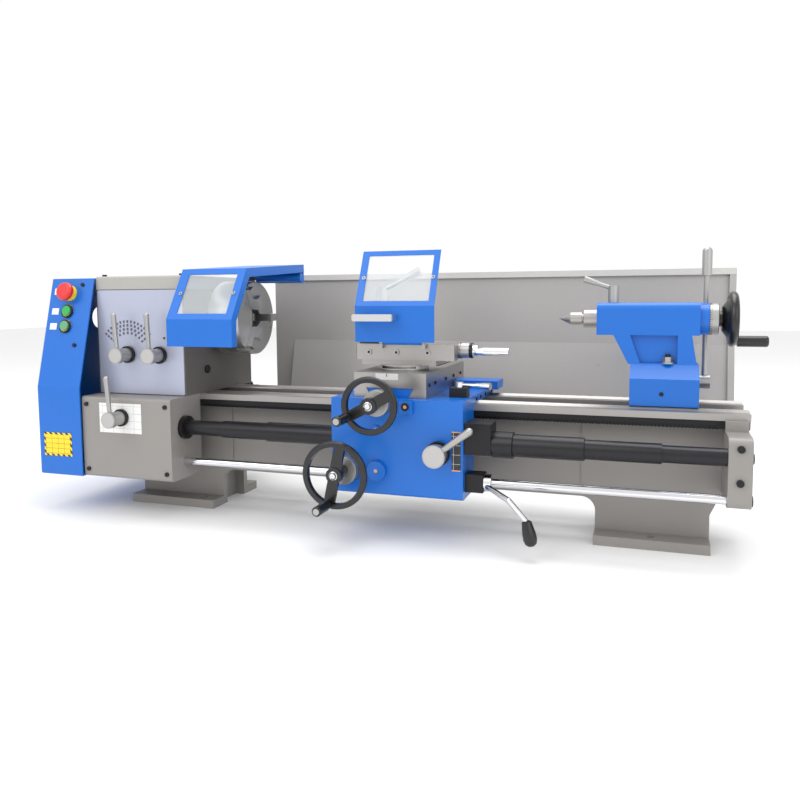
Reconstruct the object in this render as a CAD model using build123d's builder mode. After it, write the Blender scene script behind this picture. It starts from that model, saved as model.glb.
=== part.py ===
from build123d import *
import os
from math import cos, radians, sin, sqrt

# Bench lathe: +X runs along the bed towards the tailstock, the operator stands at -Y, +Z is up.
# The origin is the centre of the four foot bolt holes, on the bench plane. All sizes are in mm.

# Clearances
run_fit = 0.05  # radial, a shaft in its bearing
seat_fit = 0.05  # radial, a fixed piece in its seat
slide_gap = 0.3  # between faces that slide on each other
tube_gap = 0.5  # between telescoping tubes
shaft_room = 2.0  # radial, a shaft through a hole that doesn't carry it

# Bed and feet
bed_length = 1300.0
bed_width = 180.0
bed_top = 250.0
left_setback = 210.0  # bed end to the left foot bolts
right_setback = 158.0  # bed end to the right foot bolts
rail_width = 62.0
strip_height = 12.0
band_height = 16.0
band_recess = 10.0
vee_width = 16.0
vee_height = 4.0
web_width = 100.0
web_wall = 14.0
arch_height = 78.0
arch_round = 26.0
panel_recess = 3.0
panel_margin = 18.0
rib_wall = 10.0
rib_count = 7
foot_width = 188.0
foot_thick = 18.0
left_foot_out = 172.0
left_foot_in = 36.0
right_foot_half = 99.5
bolt_pitch_y = 140.0
bolt_hole_r = 7.0
bolt_pitch_x = bed_length - left_setback - right_setback
bed_left = -bolt_pitch_x / 2 - left_setback
bed_right = bed_left + bed_length
bed_half = bed_width / 2
web_half = web_width / 2
left_foot = (-bolt_pitch_x / 2 - left_foot_out, -bolt_pitch_x / 2 + left_foot_in)
right_foot = (bolt_pitch_x / 2 - right_foot_half, bolt_pitch_x / 2 + right_foot_half)
rail_under = bed_top - strip_height - band_height

# Headstock, gearbox and end cover
swing = 320.0
head_length = 218.0
head_front = -140.0
head_rear = 130.0
head_rise = 63.0  # casting top above the spindle axis
head_wall = 12.0
side_wall = 22.0
lid_height = 28.0
lid_joint = 0.6
panel_thick = 2.0
panel_edge = 4.0
gearbox_front = -197.0
gearbox_bottom = 80.0
gearbox_wall = 10.0
cover_length = 114.0
cover_front = -204.0
cover_rear = 250.0
cover_knee = 267.0
cover_brow = -145.0
cover_rise = 88.0  # cover top above the spindle axis
cover_wall = 3.0
cover_bore_r = 26.0  # hole for bar stock, in line with the spindle
head_left = bed_left
head_right = bed_left + head_length
centre_z = bed_top + swing / 2
head_top = centre_z + head_rise
lid_bottom = head_top + lid_joint
lid_top = lid_bottom + lid_height
cover_top = centre_z + cover_rise
cover_left = bed_left - cover_length

# Spindle, chuck and belt drive
journal_r = 30.0
bearing_r = 45.0
spindle_bore_r = 19.0
tail_end_r = 24.0
flange_r = 58.0
flange_gap = 2.0
flange_thick = 16.0
chuck_r = 80.0
chuck_length = 72.0
jaw_width = 15.4
jaw_count = 3
jaw_bottom = 24.0
jaw_inner = 26.0
jaw_outer = 74.0
jaw_step = 52.0
jaw_low = 12.0
jaw_high = 23.0
pulley_x = (bed_left - 60.0, bed_left - 26.0)
spindle_pulley_r = 55.0
motor_pulley_r = 30.0
belt_thick = 5.0
motor_axis = (190.0, 170.0)
motor_r = 64.0
motor_shaft_r = 12.0
motor_span = (bed_left + 16.0, bed_left + 226.0)
chuck_back = head_right + flange_gap + flange_thick
chuck_face = chuck_back + chuck_length

# Chuck guard
guard_sheet = 2.0
guard_lip = 18.0
guard_span = (head_right + 2.0, head_right + 150.0)
guard_notch = 33.0
guard_outline = (
    (120.0, centre_z + 78.0),
    (120.0, centre_z + 120.0),
    (-141.0, centre_z + 103.0),
    (-203.0, centre_z + 2.5),
    (-203.0, centre_z - 51.5),
)
guard_pin = (108.0, centre_z + 90.0)
guard_pin_r = 5.0
guard_barrel_r = 10.0
guard_bracket = 22.0

# Controls on the end cover
button_x = bed_left - 57.0
button_z = (centre_z + 56.0, centre_z + 18.0, centre_z - 14.0)
button_r = 10.5
bezel_r = 14.0
estop_r = 19.5
estop_stem_r = 8.0
collar_r = 17.0

# Selector levers
knob_r = 16.5
lever_front = 43.0  # knob length from the face to its front disc
lever_grip_r = 5.5
speed_lever_z = 335.5
feed_lever_z = 209.0

# Lead screw and control rod
screw_y = -150.0
screw_z = 187.0
screw_r = 11.0
rod_z = 116.0
rod_r = 8.0
bracket_left = bed_right - 41.0
bracket_right = bed_right - 4.0
bracket_front = -168.0
bracket_bottom = 104.0
bracket_tab = 239.0
cover_tube_r = (13.0, 15.4, 17.4, 19.5)  # steps of the left telescoping tubes
right_tube_r = (13.0, 15.0, 17.5, 20.5)
ring_r = 24.0

# Carriage
carriage_left = head_right + 347.0
carriage_length = 255.0
carriage_right = carriage_left + carriage_length
apron_front = -180.0
apron_bottom = 85.5
apron_top = 241.0
apron_wall = 10.0
saddle_top = 266.0
saddle_rear = 92.0
dove_top = 284.0
dove_low = 36.0  # half width at the root of the cross dovetail
dove_high = 46.0
cross_centre = carriage_left + 110.0
nut_x = carriage_left + 99.0
nut_z = 261.0
cross_screw_r = 6.0
nut_slot = 10.0
cross_front = -160.0
cross_rear = 130.0
cross_half = 71.0
cross_top = 313.0
cross_wheel_r = 53.0
cross_wheel_y = -240.0
rack_wheel_x = carriage_left + 33.0
rack_wheel_z = 133.0
rack_wheel_r = 63.0
rack_wheel_y = -245.0
rack_shaft_r = 9.0
rim_bead = 5.5
spoke_wide = 20.0
spoke_thick = 8.0
handle_r = 9.0
handle_pin_r = 4.0
handle_length = 52.0
half_nut = (carriage_left + 210.0, 171.0)
box_right = carriage_right + 49.0
oiler_x = carriage_left + 149.0
oiler_block = 6.0

# Compound slide, tool post and tool guard
swivel_y = -70.0
swivel_r = 48.0
swivel_top = 323.0
compound_half = 40.0
compound_base = 333.0
compound_dove = 343.0
compound_top = 364.0
compound_left = cross_centre - 85.0
compound_right = cross_centre + 113.0
compound_low = 16.0
compound_high = 21.0
compound_reach = 75.0
compound_screw = (-75.0, 351.0)
compound_screw_r = 5.0
post_side = 72.0
post_height = 65.7
post_x = cross_centre - 45.0
post_slot = (385.0, 403.0)
post_depth = 15.0
tool_hinge = (-124.0, 368.0)
tool_hinge_r = 5.0
tool_pin_r = 2.5
tool_outline = ((-130.0, 368.0), (-130.0, 437.0), (-80.0, 543.0))
tool_span = (cross_centre - 80.0, cross_centre + 78.0)
tool_sheet = 2.0

# Tailstock
tail_right = bed_right - 82.0
tail_length = 118.0
tail_half = 62.0
tail_split = 276.0
tail_shoulder = 304.0
tail_neck = 328.0
tail_waist = centre_z - 29.0
barrel_half = 36.0
barrel_top = centre_z + 30.0
barrel_length = 179.0
quill_r = 17.5
quill_reach = 26.0
quill_length = 169.0
tail_screw_r = 8.0
pocket_depth = 12.0  # hollow in the front of the tailstock neck
centre_shank_r = 9.0
centre_r = 12.5
tail_flange = 16.0
tail_dial = 16.0
tail_wheel_r = 50.0
lock_x = tail_right - 151.0
clamp_axis = (50.0, 290.0)

# Splash guard
splash_rear = 235.0
splash_foot = 205.0
splash_crease = 349.0
splash_top = centre_z + 99.0
splash_bottom = 223.0
splash_left = head_right + 16.0
splash_low_left = head_right + 68.0
splash_sheet = 2.0
splash_lip = 9.0
splash_return = 13.0
splash_brackets = (head_right + 110.0, head_right + 560.0, bed_right - 60.0)


def slab(x, y, z, mode=Mode.ADD):
    """A block between two limits on each axis."""
    with Locations(((x[0] + x[1]) / 2, (y[0] + y[1]) / 2, (z[0] + z[1]) / 2)):
        Box(x[1] - x[0], y[1] - y[0], z[1] - z[0], mode=mode)


def along(axis, span, at):
    """The place halfway along a span, turned so that local +Z runs along the axis."""
    middle = (span[0] + span[1]) / 2
    if axis == "X":
        return Location((middle, at[0], at[1]), (0, 90, 0))
    if axis == "Y":
        return Location((at[0], middle, at[1]), (-90, 0, 0))
    return Location((at[0], at[1], middle))


def bar(axis, span, at, radius, mode=Mode.ADD):
    """A round bar along an axis."""
    with Locations(along(axis, span, at)):
        Cylinder(radius, span[1] - span[0], mode=mode)


def taper(axis, span, at, start_r, end_r, mode=Mode.ADD):
    """A cone along an axis, from its start radius to its end radius."""
    with Locations(along(axis, span, at)):
        Cone(start_r, end_r, span[1] - span[0], mode=mode)


def arm(start, end, start_r, end_r):
    """A round arm between two points, which may taper."""
    reach = Vector(*end) - Vector(*start)
    with Locations(Plane(origin=start, z_dir=reach).location):
        if start_r == end_r:
            Cylinder(start_r, reach.length, align=(Align.CENTER, Align.CENTER, Align.MIN))
        else:
            Cone(start_r, end_r, reach.length, align=(Align.CENTER, Align.CENTER, Align.MIN))


def ball(at, radius):
    """A ball at a point."""
    with Locations(at):
        Sphere(radius)


def outline(plane, points):
    """A flat face with straight sides, on a plane."""
    with BuildSketch(plane, mode=Mode.PRIVATE) as flat:
        with BuildLine():
            Polyline(*points, close=True)
        make_face()
    return flat.sketch


def ribbon(points, depth):
    """The outline of a bent sheet: the given points, then the same points moved to their left by its depth."""
    inner = []
    for index, point in enumerate(points):
        legs = []
        for first, last in ((index - 1, index), (index, index + 1)):
            if first >= 0 and last < len(points):
                run = (points[last][0] - points[first][0], points[last][1] - points[first][1])
                size = sqrt(run[0] ** 2 + run[1] ** 2)
                legs.append((-run[1] / size, run[0] / size))
        away = (sum(leg[0] for leg in legs), sum(leg[1] for leg in legs))
        share = depth / (away[0] * legs[0][0] + away[1] * legs[0][1])
        inner.append((point[0] + away[0] * share, point[1] + away[1] * share))
    return [*points, *reversed(inner)]


def pane_plane(x, lower, upper):
    """The plane of a leaning sheet's outer face, seen from the operator, centred between two points."""
    run = (upper[0] - lower[0], upper[1] - lower[1])
    size = sqrt(run[0] ** 2 + run[1] ** 2)
    middle = (x, (lower[0] + upper[0]) / 2, (lower[1] + upper[1]) / 2)
    return Plane(origin=middle, x_dir=(1, 0, 0), z_dir=(0, -run[1] / size, run[0] / size)), size


# Bed: two rails with low vees, two webs with cross ribs, and two feet
with BuildPart() as bed:
    side = outline(
        Plane.XZ.offset(-web_half),
        (
            (bed_left, rail_under),
            (bed_left, arch_height),
            (left_foot[0], arch_height - 18),
            (left_foot[0], 0),
            (left_foot[1], 0),
            (left_foot[1], arch_height),
            (right_foot[0], arch_height),
            (right_foot[0], 0),
            (right_foot[1], 0),
            (right_foot[1], 60),
            (right_foot[1] + 18, 100),
            (bed_right, 100),
            (bed_right, rail_under),
        ),
    )
    extrude(side, amount=web_width)
    arch_edges = [
        edge
        for edge in bed.edges().filter_by(Axis.Y)
        if abs(edge.center().Z - arch_height) < 1 and left_foot[0] < edge.center().X < right_foot[1]
    ]
    fillet(arch_edges, radius=arch_round)
    cell = (bed_length - rib_wall) / (rib_count - 1)
    for index in range(rib_count - 1):
        start = bed_left + rib_wall + index * cell
        slab(
            (start, start + cell - rib_wall),
            (-web_half + web_wall, web_half - web_wall),
            (0, rail_under),
            mode=Mode.SUBTRACT,
        )
    for face in (-1, 1):
        slab(
            (left_foot[1] + arch_round, right_foot[0] - arch_round),
            sorted((face * web_half, face * (web_half - panel_recess))),
            (arch_height + panel_margin, rail_under - panel_margin / 2),
            mode=Mode.SUBTRACT,
        )
        outer = face * bed_half
        inner = face * (bed_half - rail_width)
        slab((bed_left, bed_right), sorted((inner, outer)), (bed_top - strip_height, bed_top))
        slab(
            (bed_left, bed_right),
            sorted((inner, outer - face * band_recess)),
            (rail_under, bed_top - strip_height),
        )
        ridge = (inner + outer) / 2
        vee = outline(
            Plane.YZ.offset(bed_left),
            (
                (ridge - vee_width / 2, bed_top),
                (ridge + vee_width / 2, bed_top),
                (ridge, bed_top + vee_height),
            ),
        )
        extrude(vee, amount=bed_length)
        slab(left_foot, sorted((face * foot_width / 2, face * (web_half - web_wall))), (0, foot_thick))
        slab(right_foot, sorted((face * foot_width / 2, face * (web_half - web_wall))), (0, foot_thick))
    # The headstock stands on flat rails
    slab((head_left, head_right), (-bed_half, bed_half), (bed_top, bed_top + vee_height), mode=Mode.SUBTRACT)
    with GridLocations(bolt_pitch_x, bolt_pitch_y, 2, 2):
        Cylinder(bolt_hole_r, 4 * foot_thick, mode=Mode.SUBTRACT)

# Headstock casting, open at the top, with two bearing bores and the guard's pivot bracket
with BuildPart() as headstock_casting:
    slab((head_left, head_right), (head_front, head_rear), (bed_top, head_top))
    slab(
        (head_left + side_wall, head_right - side_wall),
        (head_front + head_wall, head_rear - head_wall),
        (bed_top + head_wall, head_top),
        mode=Mode.SUBTRACT,
    )
    bar("X", (head_left - 1, head_right + 1), (0, centre_z), bearing_r + seat_fit, mode=Mode.SUBTRACT)
    slab(
        (head_right, head_right + guard_bracket),
        (guard_pin[0] - 12, guard_pin[0] + 12),
        (head_top - 60, guard_pin[1]),
    )
    bar("X", (head_right, head_right + guard_bracket), guard_pin, 12)
    bar("X", (head_right, guard_span[1] - 4), guard_pin, guard_pin_r)

with BuildPart() as headstock_lid:
    slab((head_left, head_right), (head_front, head_rear), (lid_bottom, lid_top))
    slab(
        (head_left + side_wall, head_right - side_wall),
        (head_front + head_wall, head_rear - head_wall),
        (head_top, lid_top - head_wall),
        mode=Mode.SUBTRACT,
    )
    fillet(headstock_lid.faces().sort_by(Axis.Z)[-1].edges(), radius=4)
    slab(
        (head_left + panel_edge, head_right - panel_edge),
        (head_front + panel_edge, head_front + head_wall - 2),
        (head_top, lid_bottom),
    )
    slab(
        (head_left + panel_edge, head_right - panel_edge),
        (head_rear - head_wall + 2, head_rear - panel_edge),
        (head_top, lid_bottom),
    )

with BuildPart() as front_panel:
    slab(
        (head_left + panel_edge, head_right - panel_edge / 2),
        (head_front - panel_thick, head_front),
        (bed_top + panel_edge / 2, head_top - panel_edge / 4),
    )
    fillet(front_panel.edges().filter_by(Axis.Y), radius=3)

# Feed gearbox on the bed's front, open towards the end cover
with BuildPart() as feed_gearbox:
    slab((head_left, head_right), (gearbox_front, -bed_half), (gearbox_bottom, bed_top))
    fillet(feed_gearbox.edges().filter_by(Axis.X).sort_by(Axis.Y)[:2], radius=6)
    slab(
        (head_left, head_right - gearbox_wall),
        (gearbox_front + gearbox_wall, -bed_half - gearbox_wall),
        (gearbox_bottom + gearbox_wall, bed_top - gearbox_wall),
        mode=Mode.SUBTRACT,
    )
    bar("X", (head_right - 2 * gearbox_wall, head_right + 1), (screw_y, screw_z), screw_r + run_fit,
        mode=Mode.SUBTRACT)
    bar("X", (head_right - 2 * gearbox_wall, head_right + 1), (screw_y, rod_z), rod_r + run_fit,
        mode=Mode.SUBTRACT)

# Buttons on the leaning face of the end cover
cover_face, _ = pane_plane(button_x, (cover_front, cover_knee), (cover_brow, cover_top))


def button_plane(z):
    """The plane of a button, on the leaning face at a height."""
    share = (z - cover_knee) / (cover_top - cover_knee)
    origin = (button_x, cover_front + share * (cover_brow - cover_front), z)
    return Plane(origin=origin, x_dir=(1, 0, 0), z_dir=cover_face.z_dir)


def standing(plane, low, high, radius, mode=Mode.ADD):
    """A round piece standing on a plane, between two heights over it."""
    with Locations((plane * Location((0, 0, (low + high) / 2)))):
        Cylinder(radius, high - low, mode=mode)


with BuildPart() as end_cover:
    shape = outline(
        Plane.YZ.offset(cover_left),
        (
            (cover_front, gearbox_bottom),
            (cover_front, cover_knee),
            (cover_brow, cover_top),
            (cover_rear, cover_top),
            (cover_rear, gearbox_bottom),
        ),
    )
    extrude(shape, amount=cover_length)
    fillet(end_cover.faces().sort_by(Axis.X)[0].edges(), radius=8)
    offset(amount=-cover_wall, openings=end_cover.faces().sort_by(Axis.X)[-1])
    bar("X", (cover_left - 1, cover_left + cover_wall + 1), (0, centre_z), cover_bore_r, mode=Mode.SUBTRACT)
    standing(button_plane(button_z[0]), -9, 9, estop_stem_r + slide_gap, mode=Mode.SUBTRACT)
    for height in button_z[1:]:
        standing(button_plane(height), -9, 9, button_r + slide_gap, mode=Mode.SUBTRACT)

with BuildPart() as button_bezels:
    standing(button_plane(button_z[0]), 0, 9, collar_r)
    standing(button_plane(button_z[0]), 0, 9, estop_stem_r + slide_gap, mode=Mode.SUBTRACT)
    for height in button_z[1:]:
        standing(button_plane(height), 0, 4, bezel_r)
        standing(button_plane(height), 0, 4, button_r + slide_gap, mode=Mode.SUBTRACT)

with BuildPart() as estop_button:
    standing(button_plane(button_z[0]), -14, 15, estop_stem_r)
    standing(button_plane(button_z[0]), 14, 24, estop_r)
    fillet(estop_button.edges().filter_by(GeomType.CIRCLE).sort_by(Axis.Y)[0], radius=6)

with BuildPart() as start_button:
    standing(button_plane(button_z[1]), -12, 7, button_r)

with BuildPart() as stop_button:
    standing(button_plane(button_z[2]), -12, 7, button_r)

# Spindle line
with BuildPart() as spindle_bearings:
    for span in ((head_left + 1, head_left + side_wall - 1), (head_right - side_wall + 1, head_right - 1)):
        bar("X", span, (0, centre_z), bearing_r)
    bar("X", (head_left, head_right), (0, centre_z), journal_r + run_fit, mode=Mode.SUBTRACT)

with BuildPart() as spindle:
    bar("X", (pulley_x[0] - 9, pulley_x[1] + 6), (0, centre_z), tail_end_r)
    bar("X", (pulley_x[1] + 6, head_right + flange_gap), (0, centre_z), journal_r)
    bar("X", (head_right + flange_gap, chuck_back), (0, centre_z), flange_r)
    bar("X", (pulley_x[0] - 10, chuck_back + 1), (0, centre_z), spindle_bore_r, mode=Mode.SUBTRACT)


def jaw_place(index):
    """The turn of a jaw about the spindle: the first points to the back of the lathe."""
    return Location((0, 0, centre_z), (index * 360 / jaw_count, 0, 0))


with BuildPart() as chuck_body:
    bar("X", (chuck_back, chuck_face), (0, centre_z), chuck_r)
    chamfer(chuck_body.edges().filter_by(GeomType.CIRCLE).sort_by(Axis.X)[-1], length=2)
    bar("X", (chuck_back - 1, chuck_face + 1), (0, centre_z), spindle_bore_r, mode=Mode.SUBTRACT)
    for index in range(jaw_count):
        with Locations(jaw_place(index) * Location((chuck_face - jaw_bottom / 2, chuck_r / 2 + 5, 0))):
            Box(jaw_bottom, chuck_r + 10, jaw_width + 2 * slide_gap, mode=Mode.SUBTRACT)
    # Key sockets between the jaws
    for index in range(jaw_count):
        turn = jaw_place(index + 0.5) * Location((chuck_back + chuck_length / 2 - 6, chuck_r - 8, 0))
        with Locations(turn):
            Box(11, 18, 11, mode=Mode.SUBTRACT)


def jaw(index):
    """One stepped chuck jaw in its slot."""
    with BuildPart() as piece:
        for low, high, reach in (
            (-jaw_bottom + slide_gap, 0, jaw_outer),
            (0, jaw_low, jaw_outer),
            (jaw_low, jaw_high, jaw_step),
        ):
            middle = (chuck_face + (low + high) / 2, (jaw_inner + reach) / 2, 0)
            with Locations(jaw_place(index) * Location(middle)):
                Box(high - low, reach - jaw_inner, jaw_width)
    return piece


def pulley(axis_at, radius, bore):
    """A grooved pulley, whose belt runs in its groove."""
    with BuildPart() as wheel:
        bar("X", pulley_x, axis_at, radius + 3)
        bar("X", (pulley_x[0] + 4, pulley_x[1] - 4), axis_at, radius + 4, mode=Mode.SUBTRACT)
        bar("X", (pulley_x[0] + 4, pulley_x[1] - 4), axis_at, radius)
        bar("X", (pulley_x[0] - 1, pulley_x[1] + 1), axis_at, bore, mode=Mode.SUBTRACT)
    return wheel


spindle_pulley = pulley((0, centre_z), spindle_pulley_r, tail_end_r + seat_fit)
with BuildPart() as motor_pulley:
    add(pulley(motor_axis, motor_pulley_r, motor_shaft_r - 2).part)
    bar("X", (pulley_x[0] - 4, motor_span[0] + 50), motor_axis, motor_shaft_r)

belt_x = (pulley_x[0] + 6, pulley_x[1] - 6)
with BuildPart() as drive_belt:
    for extra, mode in ((slide_gap + belt_thick, Mode.ADD), (slide_gap, Mode.SUBTRACT)):
        with BuildSketch(Plane.YZ.offset(belt_x[0])):
            with Locations((0, centre_z)):
                Circle(spindle_pulley_r + extra)
            with Locations(motor_axis):
                Circle(motor_pulley_r + extra)
            make_hull()
        extrude(amount=belt_x[1] - belt_x[0], mode=mode)

with BuildPart() as motor:
    bar("X", motor_span, motor_axis, motor_r)
    bar("X", (motor_span[0] + 30, motor_span[1] - 30), motor_axis, motor_r + 3)
    slab((motor_span[0] + 50, motor_span[0] + 150), (motor_axis[0] - 30, motor_axis[0] + 30),
         (motor_axis[1], motor_axis[1] + motor_r + 14))
    slab((motor_span[0] + 40, motor_span[1] - 40), (web_half, motor_axis[0]),
         (motor_axis[1] - 14, motor_axis[1] + 14))
    # Cable gland on the terminal box; the mains lead itself isn't modelled
    bar("X", (motor_span[0] + 150, motor_span[0] + 168), (motor_axis[0], motor_axis[1] + motor_r + 2), 9)
    bar("X", (motor_span[0] + 140, motor_span[0] + 169), (motor_axis[0], motor_axis[1] + motor_r + 2), 5,
        mode=Mode.SUBTRACT)
    bar("X", (motor_span[0] - 1, motor_span[0] + 60), motor_axis, motor_shaft_r + run_fit, mode=Mode.SUBTRACT)

# Splash guard behind the bed
splash_points = ((splash_foot, splash_bottom), (splash_rear, splash_crease), (splash_rear, splash_top))
with BuildPart() as splash_guard:
    upper = ((splash_rear, splash_crease), (splash_rear, splash_top))
    extrude(outline(Plane.YZ.offset(splash_left), ribbon(upper, splash_sheet)), amount=bed_right - splash_left)
    extrude(outline(Plane.YZ.offset(splash_low_left), ribbon(splash_points, splash_sheet)),
            amount=bed_right - splash_low_left)
    slab((splash_left, bed_right), (splash_rear - splash_lip, splash_rear), (splash_top - splash_sheet, splash_top))
    extrude(outline(Plane.YZ.offset(bed_right - splash_sheet), ribbon(splash_points, splash_lip)),
            amount=splash_sheet)
    # The lips return along the top and the right edge
    slab((splash_left, bed_right), (splash_rear - splash_lip, splash_rear - splash_lip + splash_sheet),
         (splash_top - splash_return, splash_top))
    returned = tuple((y - splash_lip + splash_sheet, z) for y, z in splash_points)
    extrude(outline(Plane.YZ.offset(bed_right - splash_return), ribbon(returned, splash_sheet)),
            amount=splash_return)
    # An upright plate and a web close the corner behind the chuck
    slab((splash_left, splash_low_left + splash_sheet), (splash_rear - splash_sheet, splash_rear),
         (splash_bottom, splash_crease + splash_sheet))
    web = outline(Plane.YZ.offset(splash_low_left), (*splash_points[:2], (splash_rear, splash_bottom)))
    extrude(web, amount=splash_sheet)
    for middle in splash_brackets:
        slab((middle - 16, middle + 16), (bed_half, splash_foot + 1), (splash_bottom, splash_bottom + 4))
        slab((middle - 16, middle + 16), (bed_half, bed_half + 4), (splash_bottom, bed_top - 2))

# Bracket that carries the right ends of the lead screw and the control rod
with BuildPart() as end_bracket:
    slab((bracket_left, bracket_right), (bracket_front, -web_half), (bracket_bottom, rail_under))
    fillet(end_bracket.edges().filter_by(Axis.X).sort_by(Axis.Y)[:2], radius=14)
    slab((bracket_left, bracket_right), (-bed_half - 12, -bed_half), (rail_under - 20, bracket_tab))
    bar("X", (bracket_left - 1, bracket_right + 1), (screw_y, screw_z), screw_r + run_fit, mode=Mode.SUBTRACT)
    bar("X", (bracket_left - 1, bracket_right + 1), (screw_y, rod_z), rod_r + run_fit, mode=Mode.SUBTRACT)

with BuildPart() as leadscrew:
    bar("X", (head_right - 24, bracket_right - 2), (screw_y, screw_z), screw_r)

with BuildPart() as control_rod:
    bar("X", (head_right - 24, bracket_right - 2), (screw_y, rod_z), rod_r)


def sleeve(span, inner, outer):
    """A tube around the lead screw."""
    with BuildPart() as tube:
        bar("X", span, (screw_y, screw_z), outer)
        bar("X", (span[0] - 1, span[1] + 1), (screw_y, screw_z), inner, mode=Mode.SUBTRACT)
    return tube


left_fixed = (head_right, head_right + 150)
left_moving = (carriage_left - 150, carriage_left)
left_mid_x = (left_fixed[0] + left_moving[0]) / 2 - 2
left_mid = (left_mid_x + 0.0, left_mid_x + 163.0)
right_ring = (box_right, box_right + 37)
right_run = bracket_left - box_right
right_moving = (box_right + 1, box_right + right_run / 2 - 34)
right_fixed = (bracket_left - right_run / 2 - 7, bracket_left)
right_mid_x = (right_moving[0] + right_moving[1] + right_fixed[0] + right_fixed[1]) / 4 - 12
right_mid_half = right_run / 4 + 17.5
right_mid = (right_mid_x - right_mid_half, right_mid_x + right_mid_half)

with BuildPart() as lead_covers_fixed:
    bar("X", left_fixed, (screw_y, screw_z), cover_tube_r[1])
    bar("X", (left_fixed[0], left_fixed[0] + 10), (screw_y, screw_z), ring_r)
    bar("X", right_fixed, (screw_y, screw_z), right_tube_r[1])
    bar("X", (left_fixed[0] - 1, right_fixed[1] + 1), (screw_y, screw_z), cover_tube_r[0], mode=Mode.SUBTRACT)
lead_cover_left_mid = sleeve(left_mid, cover_tube_r[1] + tube_gap, cover_tube_r[2])
lead_cover_right_mid = sleeve(right_mid, right_tube_r[1] + tube_gap, right_tube_r[2])
with BuildPart() as lead_covers_carriage:
    bar("X", left_moving, (screw_y, screw_z), cover_tube_r[3])
    bar("X", left_moving, (screw_y, screw_z), cover_tube_r[2] + tube_gap, mode=Mode.SUBTRACT)
    bar("X", right_moving, (screw_y, screw_z), right_tube_r[3])
    bar("X", right_ring, (screw_y, screw_z), ring_r)
    bar("X", (right_ring[0] - 1, right_moving[1] + 1), (screw_y, screw_z), right_tube_r[2] + tube_gap,
        mode=Mode.SUBTRACT)


# Chuck guard: a bent sheet on a pin, with a clear window
guard_ribbon = ribbon(guard_outline, guard_sheet)
window_plane, window_size = pane_plane(
    (guard_span[0] + guard_span[1]) / 2 + 2, guard_outline[3], guard_outline[2]
)
guard_window = (guard_span[1] - guard_span[0] - 36, window_size - 26)
with BuildPart() as chuck_guard:
    extrude(outline(Plane.YZ.offset(guard_span[0]), guard_ribbon), amount=guard_span[1] - guard_span[0])
    extrude(outline(Plane.YZ.offset(guard_span[1] - guard_sheet), ribbon(guard_outline[1:], guard_lip)),
            amount=guard_sheet)
    slab((guard_span[0] - 1, guard_span[0] + guard_notch), (guard_outline[0][0] - 10, guard_outline[0][0] + 10),
         (guard_outline[0][1] - 10, guard_outline[1][1] - guard_sheet), mode=Mode.SUBTRACT)
    bar("X", (guard_span[0] + guard_notch, guard_span[1]), guard_pin, guard_barrel_r)
    slab((guard_span[0] + guard_notch, guard_span[1]), (guard_pin[0], guard_outline[0][0]),
         (guard_outline[0][1], guard_pin[1]))
    bar("X", (guard_span[0], guard_span[1] - guard_sheet), guard_pin, guard_pin_r + run_fit, mode=Mode.SUBTRACT)
    with Locations(window_plane.location):
        Box(guard_window[0], guard_window[1], 12, mode=Mode.SUBTRACT)
with BuildPart() as chuck_guard_window:
    with Locations(window_plane * Location((0, 0, -guard_sheet - 1))):
        Box(guard_window[0] + 12, guard_window[1] + 12, 2)


def selector(x, face, z, lean):
    """A selector lever on a vertical face: a knob along Y and an arm that leans from upright."""
    reach = 84.0
    front = face - lever_front
    tip = (x + reach * sin(radians(lean)), front + 12, z + reach * cos(radians(lean)))
    with BuildPart() as lever:
        taper("Y", (front + 12, face - slide_gap), (x, z), 12.5, 15)
        bar("Y", (front, front + 12), (x, z), knob_r)
        arm((x, front + 8, z), (x, front + 8, z + 1), 3, 3)
        arm((x, front + 8, z), tip, lever_grip_r - 1.5, lever_grip_r)
        ball(tip, lever_grip_r)
    return lever


speed_lever_left = selector(head_left + 79, head_front - panel_thick, speed_lever_z, -7)
speed_lever_right = selector(head_left + 158, head_front - panel_thick, speed_lever_z, -5)
feed_lever = selector(head_left + 100, gearbox_front, feed_lever_z, -7)

# Saddle: rides the bed, with the cross dovetail on top and the apron below
with BuildPart() as saddle:
    slab((carriage_left, carriage_right), (apron_front, saddle_rear), (bed_top + slide_gap, saddle_top))
    slab((carriage_left, carriage_right), (apron_front, -bed_half - slide_gap), (apron_top, saddle_top))
    for face in (-1, 1):
        ridge = face * (bed_half - rail_width / 2)
        slab((carriage_left, carriage_right), (ridge - vee_width / 2 - 1, ridge + vee_width / 2 + 1),
             (bed_top, bed_top + vee_height + 1), mode=Mode.SUBTRACT)
    dove = outline(
        Plane.XZ.offset(-saddle_rear),
        (
            (cross_centre - dove_low, saddle_top),
            (cross_centre + dove_low, saddle_top),
            (cross_centre + dove_high, dove_top),
            (cross_centre - dove_high, dove_top),
        ),
    )
    extrude(dove, amount=saddle_rear - apron_front - 22)
    slab((nut_x - nut_slot, nut_x + nut_slot), (apron_front + 12, saddle_rear + 1), (nut_z - 7, dove_top + 1),
         mode=Mode.SUBTRACT)
    bar("Y", (apron_front - 1, apron_front + 13), (nut_x, nut_z), cross_screw_r + run_fit, mode=Mode.SUBTRACT)
    slab((carriage_right - 69, carriage_right + 21), (30, 90), (saddle_top - 2, saddle_top + 15))
    slab((carriage_right - 39, carriage_right - 7), (-125, -100), (saddle_top, saddle_top + 18))
    slab((oiler_x - 13, oiler_x + 13), (apron_front - oiler_block, apron_front), (apron_top, saddle_top - 1))

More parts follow.
